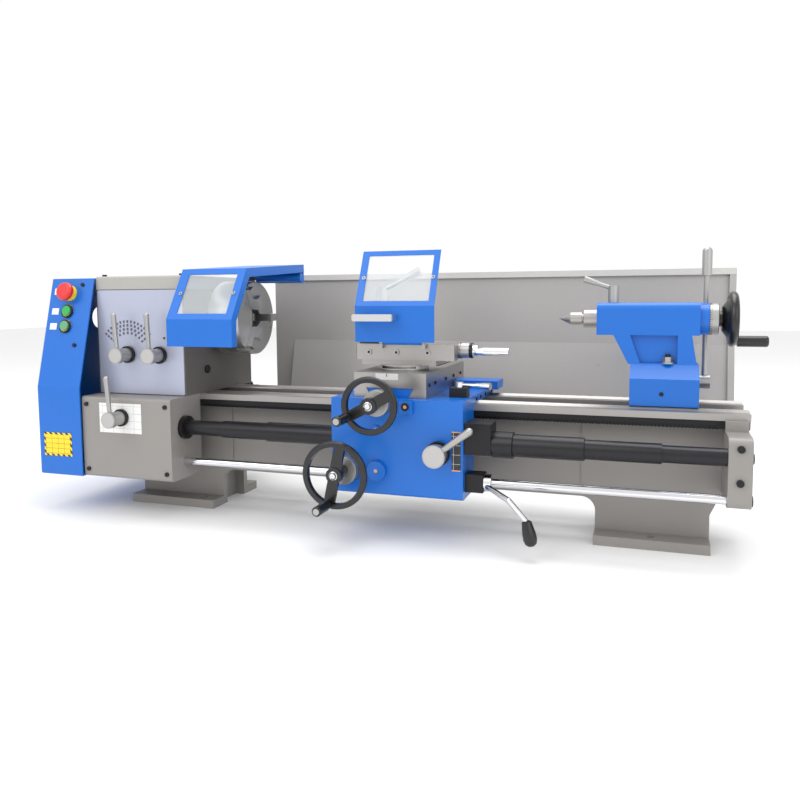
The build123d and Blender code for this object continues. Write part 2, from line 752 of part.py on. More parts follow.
# Apron: a hollow casting with the interlock box and the control rod bearing on its right side
with BuildPart() as apron:
    slab((carriage_left, carriage_right), (apron_front, -bed_half - 3), (apron_bottom, apron_top))
    fillet(apron.edges().filter_by(Axis.X).sort_by(Axis.Z)[:2], radius=5)
    slab((carriage_left + apron_wall, carriage_right - apron_wall), (apron_front + apron_wall, -bed_half),
         (apron_bottom + apron_wall, apron_top), mode=Mode.SUBTRACT)
    slab((carriage_right, box_right), (screw_y - 24, screw_y + 24), (screw_z - 16, screw_z + 39))
    slab((carriage_right, carriage_right + 34), (screw_y - 16, screw_y + 16), (rod_z - 16, rod_z + 16))
    bar("X", (carriage_left - 1, box_right + 1), (screw_y, screw_z), screw_r + shaft_room, mode=Mode.SUBTRACT)
    bar("X", (carriage_left - 1, carriage_right + 35), (screw_y, rod_z), rod_r + shaft_room, mode=Mode.SUBTRACT)
    for at, shaft in (((rack_wheel_x, rack_wheel_z), rack_shaft_r), (half_nut, cross_screw_r + 2)):
        bar("Y", (apron_front - 1, apron_front + apron_wall + 1), at, shaft + run_fit, mode=Mode.SUBTRACT)

with BuildPart() as apron_fittings:
    bar("Y", (apron_front - 9, apron_front), (cross_centre - 19, 132), 17.7)
    bar("Y", (apron_front - 4, apron_front), (cross_centre - 20, 209), 7)
    bar("Y", (apron_front - oiler_block - 3, apron_front - oiler_block), (oiler_x, 254), 7)
    slab((carriage_right - 20, carriage_right - 4), (apron_front - 1.5, apron_front), (140, 212))

# Hand wheels on axes along Y, with a two-arm spoke and a free-turning handle
def wheel_handle_at(x, z, rim_r, spoke_turn):
    """The centre of a wheel's handle, at the end of its spoke."""
    reach = rim_r - rim_bead - 3
    return (x - reach * cos(radians(spoke_turn)), z + reach * sin(radians(spoke_turn)))


def hand_wheel(x, z, rim_y, rim_r, dial_r, spoke_turn, shaft_r, shaft_end):
    """A rim, a spoke, a graduated dial against the apron and a shaft through it."""
    with BuildPart() as wheel:
        bar("Y", (rim_y - rim_bead, rim_y + rim_bead), (x, z), rim_r)
        fillet(wheel.edges().filter_by(GeomType.CIRCLE), radius=rim_bead - 0.5)
        bar("Y", (rim_y - rim_bead, rim_y + rim_bead), (x, z), rim_r - 2 * rim_bead, mode=Mode.SUBTRACT)
        with Locations(Location((x, rim_y, z), (0, spoke_turn, 0))):
            Box(2 * (rim_r - rim_bead), spoke_thick, spoke_wide)
        bar("Y", (rim_y - 6, rim_y + 8), (x, z), 15)
        bar("Y", (rim_y + 8, apron_front - 28), (x, z), 12)
        bar("Y", (apron_front - 28, apron_front - slide_gap), (x, z), dial_r)
        bar("Y", (apron_front - slide_gap, shaft_end), (x, z), shaft_r)
        pin = wheel_handle_at(x, z, rim_r, spoke_turn)
        bar("Y", (rim_y - handle_length, rim_y), pin, handle_pin_r)
    return wheel


def free_handle(x, z, rim_y, rim_r, spoke_turn):
    """A handle that turns on its pin, with a metal cap."""
    at = wheel_handle_at(x, z, rim_r, spoke_turn)
    back = rim_y - rim_bead - slide_gap
    with BuildPart() as grip:
        taper("Y", (back - 14, back), at, handle_r, handle_r - 2)
        bar("Y", (rim_y - handle_length - 6, back - 14), at, handle_r)
        fillet(grip.edges().filter_by(GeomType.CIRCLE).sort_by(Axis.Y)[0], radius=3)
        bar("Y", (rim_y - handle_length - slide_gap, back), at, handle_pin_r + run_fit, mode=Mode.SUBTRACT)
    return grip


cross_spoke = -28.0
rack_spoke = -78.0
cross_wheel = hand_wheel(nut_x, nut_z, cross_wheel_y, cross_wheel_r, 24, cross_spoke, cross_screw_r, 84)
cross_wheel_handle = free_handle(nut_x, nut_z, cross_wheel_y, cross_wheel_r, cross_spoke)
carriage_wheel = hand_wheel(rack_wheel_x, rack_wheel_z, rack_wheel_y, rack_wheel_r, 26, rack_spoke, rack_shaft_r,
                            apron_front + 15)
carriage_wheel_handle = free_handle(rack_wheel_x, rack_wheel_z, rack_wheel_y, rack_wheel_r, rack_spoke)

# Cross slide, on the saddle's dovetail, with the nut that the cross screw drives
with BuildPart() as cross_slide:
    slab((cross_centre - cross_half, cross_centre + cross_half), (cross_front, cross_rear),
         (saddle_top + slide_gap, cross_top))
    grip_low = dove_low + 2 * slide_gap
    grip_high = dove_high + 2 * slide_gap
    slot = outline(
        Plane.XZ.offset(-cross_rear - 1),
        (
            (cross_centre - grip_low, saddle_top),
            (cross_centre + grip_low, saddle_top),
            (cross_centre + grip_high, dove_top + slide_gap),
            (cross_centre - grip_high, dove_top + slide_gap),
        ),
    )
    extrude(slot, amount=cross_rear - cross_front + 2, mode=Mode.SUBTRACT)
    for side in (-1, 1):
        tee = cross_centre + side * (cross_half - 24)
        slab((tee - 5, tee + 5), (swivel_y + swivel_r + 16, cross_rear), (cross_top - 9, cross_top),
             mode=Mode.SUBTRACT)
    slab((nut_x - nut_slot + 2, nut_x + nut_slot - 2), (-32, -6), (nut_z - 5.5, dove_top + 2))
    bar("Y", (-40, 0), (nut_x, nut_z), cross_screw_r + slide_gap, mode=Mode.SUBTRACT)

compound_span = (cross_centre - compound_reach, cross_centre + compound_reach)


def compound_outline(edge, low, high, floor, roof):
    """The compound dovetail's outline, across the slide."""
    return outline(
        Plane.YZ.offset(edge),
        ((swivel_y - low, floor), (swivel_y + low, floor), (swivel_y + high, roof), (swivel_y - high, roof)),
    )


with BuildPart() as swivel_base:
    bar("Z", (cross_top + slide_gap, swivel_top), (cross_centre, swivel_y), swivel_r)
    slab(compound_span, (swivel_y - compound_half + 3, swivel_y + compound_half - 3), (swivel_top, compound_base))
    extrude(compound_outline(compound_span[0], compound_low, compound_high, compound_base, compound_dove),
            amount=2 * compound_reach)

lug_x = (cross_centre - 29, cross_centre + 56)
with BuildPart() as top_slide:
    slab((compound_left, compound_right), (swivel_y - compound_half - 5, swivel_y + compound_half - 5),
         (compound_base + slide_gap, compound_top))
    fillet(top_slide.edges().filter_by(Axis.Z), radius=4)
    extrude(
        compound_outline(compound_left - 1, compound_low + 2 * slide_gap, compound_high + 2 * slide_gap,
                         compound_base, compound_dove + slide_gap),
        amount=compound_right - compound_left + 2,
        mode=Mode.SUBTRACT,
    )
    bar("X", (compound_right - 40, compound_right + 1), compound_screw, compound_screw_r + run_fit,
        mode=Mode.SUBTRACT)
    for middle in lug_x:
        slab((middle - 3, middle + 3), (tool_hinge[0], swivel_y - compound_half - 5),
             (compound_top - 8, compound_top))
        slab((middle - 3, middle + 3), (tool_hinge[0] - 2, tool_hinge[0] + 3.4),
             (compound_top - 8, tool_hinge[1]))
        bar("X", (middle - 3, middle + 3), tool_hinge, 3.4)
    bar("X", lug_x, tool_hinge, tool_pin_r)

with BuildPart() as top_slide_crank:
    bar("X", (compound_right - 38, compound_right + slide_gap), compound_screw, compound_screw_r)
    bar("X", (compound_right + slide_gap, compound_right + 28), compound_screw, 14)
    bar("X", (compound_right + 28, compound_right + 36), compound_screw, 10)
    crank_y = compound_screw[0] - 28
    arm((compound_right + 34, compound_screw[0], compound_screw[1]),
        (compound_right + 43, crank_y, compound_screw[1]), 6, 5)
    taper("X", (compound_right + 39, compound_right + 52), (crank_y, compound_screw[1]), 5.5, 7.5)
    bar("X", (compound_right + 52, compound_right + 100), (crank_y, compound_screw[1]), 7.5)

with BuildPart() as tool_post:
    slab((post_x - post_side / 2, post_x + post_side / 2), (swivel_y - post_side / 2, swivel_y + post_side / 2),
         (compound_top + slide_gap, compound_top + slide_gap + post_height))
    fillet(tool_post.edges().filter_by(Axis.Z), radius=3)
    slab((post_x - post_side, post_x + post_side), (swivel_y - post_side, swivel_y + post_side), post_slot,
         mode=Mode.SUBTRACT)
    core = post_side / 2 - post_depth
    slab((post_x - core, post_x + core), (swivel_y - core, swivel_y + core), post_slot)
    bar("Z", (compound_top + slide_gap + post_height, 440), (post_x, swivel_y), 17)

with BuildPart() as tool_post_lever:
    taper("Z", (440 + slide_gap, 468), (post_x, swivel_y), 15, 12)
    bar("Z", (468, 475), (post_x, swivel_y), 10)
    arm((post_x + 4, swivel_y, 468), (post_x + 78, swivel_y, 504), 4.5, 4)
    arm((post_x + 44, swivel_y, 487.5), (post_x + 78, swivel_y, 504), 6.5, 9)

# Tool guard: tips forward on its hinge barrel; it carries a window and a pull handle
tool_plane, tool_window_size = pane_plane(cross_centre, tool_outline[1], tool_outline[2])
tool_window = (tool_span[1] - tool_span[0] - 26, tool_window_size - 20)
pull_y = tool_outline[0][0] - 24
pull_z = 415.0
pull_x = (cross_centre - 74, cross_centre + 4)
with BuildPart() as tool_guard:
    extrude(outline(Plane.YZ.offset(tool_span[0]), ribbon(tool_outline, -tool_sheet)),
            amount=tool_span[1] - tool_span[0])
    bar("X", (lug_x[0] + 3 + slide_gap, lug_x[1] - 3 - slide_gap), tool_hinge, tool_hinge_r)
    bar("X", lug_x, tool_hinge, tool_pin_r + run_fit, mode=Mode.SUBTRACT)
    with Locations(tool_plane.location):
        Box(tool_window[0], tool_window[1], 12, mode=Mode.SUBTRACT)
    for post in (pull_x[0] + 9, pull_x[1] - 9):
        bar("Y", (pull_y, tool_outline[0][0] + tool_sheet / 2), (post, pull_z), 4.5)
    bar("X", pull_x, (pull_y, pull_z), 6)
with BuildPart() as tool_guard_window:
    with Locations(tool_plane * Location((0, 0, -tool_sheet - 1))):
        Box(tool_window[0] + 10, tool_window[1] + 10, 2)

# Levers on the carriage
with BuildPart() as half_nut_lever:
    bar("Y", (apron_front - slide_gap, apron_front + 15), half_nut, cross_screw_r + 2)
    taper("Y", (apron_front - 24, apron_front - slide_gap), half_nut, 14, 19)
    bar("Y", (apron_front - 35, apron_front - 24), half_nut, 20.7)
    hub = (half_nut[0], apron_front - 28, half_nut[1])
    tip = (half_nut[0] + 63, apron_front - 28, half_nut[1] + 47)
    arm(hub, tip, 5, 7)
    ball(tip, 7)

lock_at = (carriage_right - 23, -112)
with BuildPart() as carriage_lock_lever:
    bar("Z", (saddle_top + 18 + slide_gap, saddle_top + 28), lock_at, 8)
    arm((lock_at[0], lock_at[1], saddle_top + 23), (lock_at[0] + 58, lock_at[1] - 14, saddle_top + 23), 3.5, 4)
    arm((lock_at[0] + 33, lock_at[1] - 8, saddle_top + 23), (lock_at[0] + 62, lock_at[1] - 15, saddle_top + 23),
        5, 7)

clamp_x = (carriage_right + 34 + slide_gap, carriage_right + 47)
with BuildPart() as control_lever:
    bar("X", clamp_x, (screw_y, rod_z), 16)
    elbow = (carriage_right + 86, screw_y - 45, rod_z - 18)
    drop = (carriage_right + 120, screw_y - 62, rod_z - 48)
    grip_end = (carriage_right + 127, screw_y - 65, rod_z - 78)
    arm(((clamp_x[0] + clamp_x[1]) / 2, screw_y - 12, rod_z - 4), elbow, 5, 5)
    ball(elbow, 5)
    arm(elbow, drop, 5, 5)
    arm(drop, grip_end, 8, 11.5)
    ball(grip_end, 11.5)
    bar("X", (clamp_x[0] - 1, clamp_x[1] + 1), (screw_y, rod_z), rod_r + slide_gap, mode=Mode.SUBTRACT)

# Tailstock: a base on the rails, and a body with a square-section barrel
tail_left = tail_right - tail_length
with BuildPart() as tailstock_base:
    slab((tail_left, tail_right), (-tail_half, tail_half), (bed_top + slide_gap, tail_split))
    for face in (-1, 1):
        ridge = face * (bed_half - rail_width / 2)
        slab((tail_left, tail_right), (ridge - vee_width / 2 - 1, ridge + vee_width / 2 + 1),
             (bed_top, bed_top + vee_height + 1), mode=Mode.SUBTRACT)

barrel_left = tail_right - barrel_length
with BuildPart() as tailstock_body:
    shelf = outline(
        Plane.YZ.offset(tail_left),
        (
            (-tail_half, tail_split),
            (tail_half, tail_split),
            (tail_half, tail_shoulder),
            (barrel_half, tail_neck),
            (-barrel_half, tail_neck),
            (-tail_half, tail_shoulder),
        ),
    )
    extrude(shelf, amount=tail_length)
    neck = outline(
        Plane.XZ.offset(-barrel_half),
        (
            (tail_left - 4, tail_neck),
            (tail_right - 4, tail_neck),
            (tail_right - 13, tail_waist + 1),
            (tail_left - 31, tail_waist + 1),
        ),
    )
    extrude(neck, amount=2 * barrel_half)
    slab((barrel_left, tail_right), (-barrel_half, barrel_half), (tail_waist, barrel_top))
    fillet(tailstock_body.edges().filter_by(Axis.X).sort_by(Axis.Z)[-2:], radius=12)
    bar("X", (tail_right, tail_right + tail_flange), (0, centre_z), 29)
    bar("X", (barrel_left - 1, tail_right), (0, centre_z), quill_r + run_fit, mode=Mode.SUBTRACT)
    bar("X", (tail_right - 1, tail_right + tail_flange + 1), (0, centre_z), tail_screw_r + run_fit,
        mode=Mode.SUBTRACT)
    pocket = outline(
        Plane.XZ.offset(barrel_half - pocket_depth),
        (
            (tail_left - 1, tail_waist),
            (tail_right - 37, tail_waist),
            (tail_right - 37, tail_neck + 2),
            (tail_left + 17, tail_neck + 2),
        ),
    )
    extrude(pocket, amount=pocket_depth + 1, mode=Mode.SUBTRACT)

quill_left = barrel_left - quill_reach
with BuildPart() as quill:
    bar("X", (quill_left, quill_left + quill_length), (0, centre_z), quill_r)
    chamfer(quill.edges().filter_by(GeomType.CIRCLE).sort_by(Axis.X)[0], length=1)
    bar("X", (quill_left - 1, quill_left + 60), (0, centre_z), centre_shank_r + seat_fit, mode=Mode.SUBTRACT)
    bar("X", (quill_left + 70, quill_left + quill_length + 1), (0, centre_z), tail_screw_r + slide_gap,
        mode=Mode.SUBTRACT)

with BuildPart() as dead_centre:
    bar("X", (quill_left - 24, quill_left + 58), (0, centre_z), centre_shank_r)
    bar("X", (quill_left - 24, quill_left - 3), (0, centre_z), centre_r)
    taper("X", (quill_left - 46, quill_left - 24), (0, centre_z), 0.4, centre_r)

wheel_x = tail_right + tail_flange + tail_dial
with BuildPart() as tail_wheel:
    bar("X", (tail_right - 90, tail_right + tail_flange + slide_gap), (0, centre_z), tail_screw_r)
    bar("X", (tail_right + tail_flange + slide_gap, wheel_x), (0, centre_z), 28)
    bar("X", (wheel_x, wheel_x + 34), (0, centre_z), 14)
    taper("X", (wheel_x + 6, wheel_x + 22), (0, centre_z), 22, tail_wheel_r - 6)
    taper("X", (wheel_x + 14, wheel_x + 24), (0, centre_z), 14, tail_wheel_r - 14, mode=Mode.SUBTRACT)
    bar("X", (wheel_x + 5, wheel_x + 24), (0, centre_z), 13.9)
    with Locations(Location((wheel_x + 24, 0, centre_z), (0, 90, 0))):
        Torus(tail_wheel_r - 8, 8)
    handle_z = centre_z - tail_wheel_r + 10
    bar("X", (wheel_x + 24, wheel_x + 82), (0, handle_z), handle_pin_r)

with BuildPart() as tail_wheel_handle:
    bar("X", (wheel_x + 32 + slide_gap, wheel_x + 84), (0, handle_z), handle_r + 1)
    fillet(tail_wheel_handle.edges().filter_by(GeomType.CIRCLE).sort_by(Axis.X)[-1], radius=4)
    bar("X", (wheel_x + 30, wheel_x + 82 + slide_gap), (0, handle_z), handle_pin_r + run_fit, mode=Mode.SUBTRACT)

with BuildPart() as quill_lock_lever:
    bar("Z", (barrel_top + slide_gap, barrel_top + 32), (lock_x, 0), 10)
    arm((lock_x, 0, barrel_top + 26), (lock_x - 54, 0, barrel_top + 45), 4, 4)
    arm((lock_x - 30, 0, barrel_top + 36.5), (lock_x - 54, 0, barrel_top + 45), 5, 6.5)

with BuildPart() as tail_clamp_lever:
    bar("X", (tail_right + slide_gap, tail_right + 24), clamp_axis, 13)
    rod_at = (tail_right + 14, clamp_axis[0])
    bar("Z", (clamp_axis[1], 490), rod_at, 5)
    bar("Z", (490, 536), rod_at, 9)
    ball((tail_right + 14, clamp_axis[0], 534), 9)

# Screw heads, each seated on a flat face
with BuildPart() as machine_screws:
    for x in (head_left + 12, head_right - 12):
        for y in (head_front + 14, head_rear - 14):
            bar("Z", (lid_top, lid_top + 4), (x, y), 5)
        for z in (gearbox_bottom + 16, bed_top - 16):
            bar("Y", (gearbox_front - 3, gearbox_front), (x, z), 4.5)
    for z in (rod_z + 33, screw_z + 18):
        bar("Y", (bracket_front - 5, bracket_front), ((bracket_left + bracket_right) / 2, z), 6)
    for height in (button_z[0] + 18, button_z[2] - 40):
        head_plane = button_plane(height)
        with Locations(head_plane * Location((30, 0, 1.5))):
            Cylinder(4, 3)

# Write every piece
pieces = {
    "bed": bed,
    "headstock_casting": headstock_casting,
    "headstock_lid": headstock_lid,
    "front_panel": front_panel,
    "feed_gearbox": feed_gearbox,
    "end_cover": end_cover,
    "button_bezels": button_bezels,
    "estop_button": estop_button,
    "start_button": start_button,
    "stop_button": stop_button,
    "spindle_bearings": spindle_bearings,
    "spindle": spindle,
    "chuck_body": chuck_body,
    "jaw_1": jaw(0),
    "jaw_2": jaw(1),
    "jaw_3": jaw(2),
    "spindle_pulley": spindle_pulley,
    "motor_pulley": motor_pulley,
    "drive_belt": drive_belt,
    "motor": motor,
    "splash_guard": splash_guard,
    "end_bracket": end_bracket,
    "leadscrew": leadscrew,
    "control_rod": control_rod,
    "lead_covers_fixed": lead_covers_fixed,
    "lead_cover_left_mid": lead_cover_left_mid,
    "lead_cover_right_mid": lead_cover_right_mid,
    "lead_covers_carriage": lead_covers_carriage,
    "chuck_guard": chuck_guard,
    "chuck_guard_window": chuck_guard_window,
    "speed_lever_left": speed_lever_left,
    "speed_lever_right": speed_lever_right,
    "feed_lever": feed_lever,
    "saddle": saddle,
    "apron": apron,
    "apron_fittings": apron_fittings,
    "cross_wheel": cross_wheel,
    "cross_wheel_handle": cross_wheel_handle,
    "carriage_wheel": carriage_wheel,
    "carriage_wheel_handle": carriage_wheel_handle,
    "cross_slide": cross_slide,
    "swivel_base": swivel_base,
    "top_slide": top_slide,
    "top_slide_crank": top_slide_crank,
    "tool_post": tool_post,
    "tool_post_lever": tool_post_lever,
    "tool_guard": tool_guard,
    "tool_guard_window": tool_guard_window,
    "half_nut_lever": half_nut_lever,
    "carriage_lock_lever": carriage_lock_lever,
    "control_lever": control_lever,
    "tailstock_base": tailstock_base,
    "tailstock_body": tailstock_body,
    "quill": quill,
    "dead_centre": dead_centre,
    "tail_wheel": tail_wheel,
    "tail_wheel_handle": tail_wheel_handle,
    "quill_lock_lever": quill_lock_lever,
    "tail_clamp_lever": tail_clamp_lever,
    "machine_screws": machine_screws,
}
os.makedirs("parts", exist_ok=True)
for name, piece in pieces.items():
    piece.part.label = name
    export_step(piece.part, f"parts/{name}.step")
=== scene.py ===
"""Finishes, fittings and stage for a bench lathe, laid out as an add-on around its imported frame."""

import math

import bmesh
import bpy
from bpy.props import FloatProperty, FloatVectorProperty, IntProperty, PointerProperty
from mathutils import Matrix, Vector


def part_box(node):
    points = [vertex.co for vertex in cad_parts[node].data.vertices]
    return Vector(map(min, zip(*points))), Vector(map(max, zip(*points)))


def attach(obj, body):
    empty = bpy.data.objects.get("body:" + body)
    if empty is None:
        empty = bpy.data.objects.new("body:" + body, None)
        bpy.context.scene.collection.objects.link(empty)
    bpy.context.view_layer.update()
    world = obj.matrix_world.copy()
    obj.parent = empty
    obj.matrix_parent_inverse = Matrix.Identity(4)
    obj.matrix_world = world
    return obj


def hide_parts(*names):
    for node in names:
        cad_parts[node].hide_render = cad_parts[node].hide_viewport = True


bl_info = {
    "name": "Bench Lathe Finishes",
    "version": (1, 0, 0),
    "blender": (4, 5, 0),
    "location": "View3D > Sidebar > Lathe",
    "description": "Paints the lathe, adds its dials, plates and fasteners, and sets the stage",
    "category": "Object",
}

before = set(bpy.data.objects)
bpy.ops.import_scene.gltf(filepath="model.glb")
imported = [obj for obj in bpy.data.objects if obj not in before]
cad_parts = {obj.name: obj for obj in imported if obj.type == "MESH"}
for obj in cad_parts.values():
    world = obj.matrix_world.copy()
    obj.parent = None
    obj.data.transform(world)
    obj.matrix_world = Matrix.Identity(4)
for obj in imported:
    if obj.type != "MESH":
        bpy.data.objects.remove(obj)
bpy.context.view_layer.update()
MM = 0.001
FRONT, RIGHT = Vector((0, -1, 0)), Vector((1, 0, 0))
UP = Vector((0, 0, 1))


def low(node):
    """A node's lowest corner at rest."""
    return Vector(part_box(node)[0])


def high(node):
    """A node's highest corner at rest."""
    return Vector(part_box(node)[1])


def middle(node):
    """The centre of a node's box at rest."""
    return (low(node) + high(node)) / 2


RAIL_TOP = low("headstock_casting").z
HEAD_RIGHT = high("headstock_lid").x
COVER_FACE_LOW = Vector((0, low("end_cover").y, RAIL_TOP + 17 * MM))
COVER_FACE_HIGH = Vector((0, low("headstock_lid").y - 5 * MM, high("end_cover").z))


class LathePaint(bpy.types.PropertyGroup):
    """Colours of the painted and metal pieces."""

    blue: FloatVectorProperty(name="Blue", description="Enamel on the guards, apron and tailstock",
                              subtype="COLOR", default=(0.001, 0.125, 0.52))
    taupe: FloatVectorProperty(name="Taupe", description="Enamel on the bed and gearbox",
                               subtype="COLOR", default=(0.25, 0.236, 0.222))
    lid: FloatVectorProperty(name="Lid", description="Enamel on the headstock lid",
                             subtype="COLOR", default=(0.37, 0.36, 0.335))
    plate: FloatVectorProperty(name="Plate", description="Front plate of the headstock",
                               subtype="COLOR", default=(0.43, 0.455, 0.57))
    splash: FloatVectorProperty(name="Splash guard", description="Enamel on the splash guard",
                                subtype="COLOR", default=(0.40, 0.385, 0.37))
    steel: FloatVectorProperty(name="Steel", description="Ground and turned steel",
                               subtype="COLOR", default=(0.38, 0.365, 0.35))
    warning: FloatVectorProperty(name="Warning yellow", description="Warning plate and collar",
                                 subtype="COLOR", default=(0.9, 0.62, 0.02))


class LatheDetail(bpy.types.PropertyGroup):
    """Sizes of the fittings."""

    mark_width: FloatProperty(name="Mark width", description="Width of a dial mark", unit="LENGTH",
                              default=0.7 * MM)
    mark_count: IntProperty(name="Dial marks", description="Marks round a hand wheel dial", default=50)
    head_radius: FloatProperty(name="Screw radius", description="Radius of a socket screw head",
                               unit="LENGTH", default=4.2 * MM)
    rack_pitch: FloatProperty(name="Rack pitch", description="Distance between rack teeth",
                              unit="LENGTH", default=6.3 * MM)
    plate_thickness: FloatProperty(name="Plate thickness", description="Thickness of a data plate",
                                   unit="LENGTH", default=0.6 * MM)
    fin_count: IntProperty(name="Motor fins", description="Cooling fins round the motor", default=30)


class LatheStage(bpy.types.PropertyGroup):
    """Floor, light and camera."""

    floor: FloatVectorProperty(name="Floor", description="Colour of the floor", subtype="COLOR",
                               default=(0.86, 0.86, 0.86))
    key_power: FloatProperty(name="Key light", description="Power of the key light, in watts", default=40.0)
    lens: FloatProperty(name="Lens", description="Focal length in millimetres", default=33.88)


# Shader groups and finishes

def node(tree, kind, **values):
    """Adds a node and sets each given value as a property of that name."""
    made = tree.nodes.new(kind)
    for name, value in values.items():
        setattr(made, name, value)
    return made


def maths(tree, operation, first, second):
    """A Math node on two sockets or numbers, giving its output."""
    made = node(tree, "ShaderNodeMath", operation=operation)
    for index, value in enumerate((first, second)):
        if isinstance(value, (int, float)):
            made.inputs[index].default_value = value
        else:
            tree.links.new(value, made.inputs[index])
    return made.outputs[0]


def noise(tree, vector, scale, detail=3.0):
    """A noise texture's value, where scale is a socket or a number."""
    made = node(tree, "ShaderNodeTexNoise")
    made.inputs["Detail"].default_value = detail
    tree.links.new(vector, made.inputs["Vector"])
    if isinstance(scale, (int, float)):
        made.inputs["Scale"].default_value = scale
    else:
        tree.links.new(scale, made.inputs["Scale"])
    return made.outputs["Fac"]


def finish_variation():
    """The group that every finish uses: blotches in the colour, an uneven gloss and a fine grain."""
    known = bpy.data.node_groups.get("FinishVariation")
    if known:
        return known
    group = bpy.data.node_groups.new("FinishVariation", "ShaderNodeTree")
    for name, kind in (("Vector", "Vector"), ("Color", "Color"), ("Blotch Scale", "Float"),
                       ("Grain Scale", "Float"), ("Tint", "Float"), ("Gloss", "Float"),
                       ("Gloss Range", "Float")):
        group.interface.new_socket(name=name, in_out="INPUT", socket_type=f"NodeSocket{kind}")
    for name, kind in (("Color", "Color"), ("Roughness", "Float"), ("Height", "Float")):
        group.interface.new_socket(name=name, in_out="OUTPUT", socket_type=f"NodeSocket{kind}")
    given = node(group, "NodeGroupInput").outputs
    result = node(group, "NodeGroupOutput").inputs
    blotch = noise(group, given["Vector"], given["Blotch Scale"], 5.0)
    grain = noise(group, given["Vector"], given["Grain Scale"], 2.0)
    swing = maths(group, "MULTIPLY", maths(group, "SUBTRACT", blotch, 0.5), given["Tint"])
    speck = maths(group, "MULTIPLY", maths(group, "SUBTRACT", grain, 0.5), given["Tint"])
    share = maths(group, "ADD", maths(group, "ADD", swing, maths(group, "MULTIPLY", speck, 0.5)), 1.0)
    shade = node(group, "ShaderNodeVectorMath", operation="SCALE")
    group.links.new(given["Color"], shade.inputs[0])
    group.links.new(share, shade.inputs["Scale"])
    group.links.new(shade.outputs[0], result["Color"])
    uneven = maths(group, "MULTIPLY", maths(group, "SUBTRACT", blotch, 0.5), given["Gloss Range"])
    group.links.new(maths(group, "ADD", given["Gloss"], uneven), result["Roughness"])
    group.links.new(grain, result["Height"])
    return group


def start_finish(name, stretch=(1, 1, 1)):
    """An empty material with its shader, and the object's own coordinates."""
    made = bpy.data.materials.new(name)
    made.use_nodes = True
    tree = made.node_tree
    tree.nodes.clear()
    shader = node(tree, "ShaderNodeBsdfPrincipled")
    surface = node(tree, "ShaderNodeOutputMaterial")
    tree.links.new(shader.outputs[0], surface.inputs[0])
    place = node(tree, "ShaderNodeTexCoord")
    mapping = node(tree, "ShaderNodeMapping")
    mapping.inputs["Scale"].default_value = stretch
    tree.links.new(place.outputs["Object"], mapping.inputs["Vector"])
    return made, tree, shader, mapping.outputs[0]


def vary(tree, shader, vector, color, gloss, tint, grain, blotch, bump, gloss_range=0.12):
    """Puts the shared variation on a shader; color is a value or a socket."""
    group = node(tree, "ShaderNodeGroup", node_tree=finish_variation())
    tree.links.new(vector, group.inputs["Vector"])
    if isinstance(color, bpy.types.NodeSocket):
        tree.links.new(color, group.inputs["Color"])
    else:
        group.inputs["Color"].default_value = (*color, 1)
    for name, value in (("Blotch Scale", blotch), ("Grain Scale", grain), ("Tint", tint), ("Gloss", gloss),
                        ("Gloss Range", gloss_range)):
        group.inputs[name].default_value = value
    raised = node(tree, "ShaderNodeBump")
    raised.inputs["Strength"].default_value = bump
    raised.inputs["Distance"].default_value = 0.4 * MM
    tree.links.new(group.outputs["Height"], raised.inputs["Height"])
    tree.links.new(group.outputs["Color"], shader.inputs["Base Color"])
    tree.links.new(group.outputs["Roughness"], shader.inputs["Roughness"])
    tree.links.new(raised.outputs[0], shader.inputs["Normal"])
    return group


FINISHES = {}


def finish(name, color, gloss, metal=0.0, coat=0.0, tint=0.1, grain=500.0, blotch=9.0, bump=0.12,
           stretch=(1, 1, 1)):
    """A finish of one colour, with its own gloss, grain and coat, made once."""
    if name not in FINISHES:
        made, tree, shader, vector = start_finish(name, stretch)
        vary(tree, shader, vector, color, gloss, tint, grain, blotch, bump)
        shader.inputs["Metallic"].default_value = metal
        shader.inputs["Coat Weight"].default_value = coat
        shader.inputs["Coat Roughness"].default_value = 0.12
        FINISHES[name] = made
    return FINISHES[name]


def band(tree, value, start, end):
    """1 where the value lies between two limits, with edges half a millimetre soft."""
    masks = []
    for limit, turned in ((start, False), (end, True)):
        made = node(tree, "ShaderNodeMapRange")
        made.inputs["From Min"].default_value = limit - 0.25 * MM
        made.inputs["From Max"].default_value = limit + 0.25 * MM
        made.inputs["To Min"].default_value = 1.0 if turned else 0.0
        made.inputs["To Max"].default_value = 0.0 if turned else 1.0
        tree.links.new(value, made.inputs["Value"])
        masks.append(made.outputs[0])
    return maths(tree, "MULTIPLY", *masks)


def blend_colors(tree, share, first, second):
    """A colour between two, where each is a value or a socket."""
    made = node(tree, "ShaderNodeMix", data_type="RGBA")
    tree.links.new(share, made.inputs["Factor"])
    for name, value in ((6, first), (7, second)):
        if isinstance(value, bpy.types.NodeSocket):
            tree.links.new(value, made.inputs[name])
        else:
            made.inputs[name].default_value = (*value, 1)
    return made.outputs[2]


def bed_finish(paint):
    """Taupe enamel below, a near-black band of painted shade under the rails, partly dark oil, and ground
    steel on the rails.
    """
    strip, shade_band_depth = 12 * MM, 28 * MM
    made, tree, shader, vector = start_finish("bed_enamel_and_ways")
    parts = node(tree, "ShaderNodeSeparateXYZ")
    tree.links.new(vector, parts.inputs[0])
    ground = band(tree, parts.outputs["Z"], RAIL_TOP - strip, 1.0)
    # The near-black band below the ground strip is painted shade under the rail overhang, partly the dark
    # oiled underside.
    dark = band(tree, parts.outputs["Z"], RAIL_TOP - shade_band_depth, RAIL_TOP - strip)
    body = blend_colors(tree, dark, paint.taupe, (0.02, 0.02, 0.021))
    color = blend_colors(tree, ground, body, paint.steel)
    vary(tree, shader, vector, color, 0.42, 0.14, 420.0, 7.0, 0.15)
    tree.links.new(maths(tree, "MULTIPLY", ground, 0.85), shader.inputs["Metallic"])
    return made


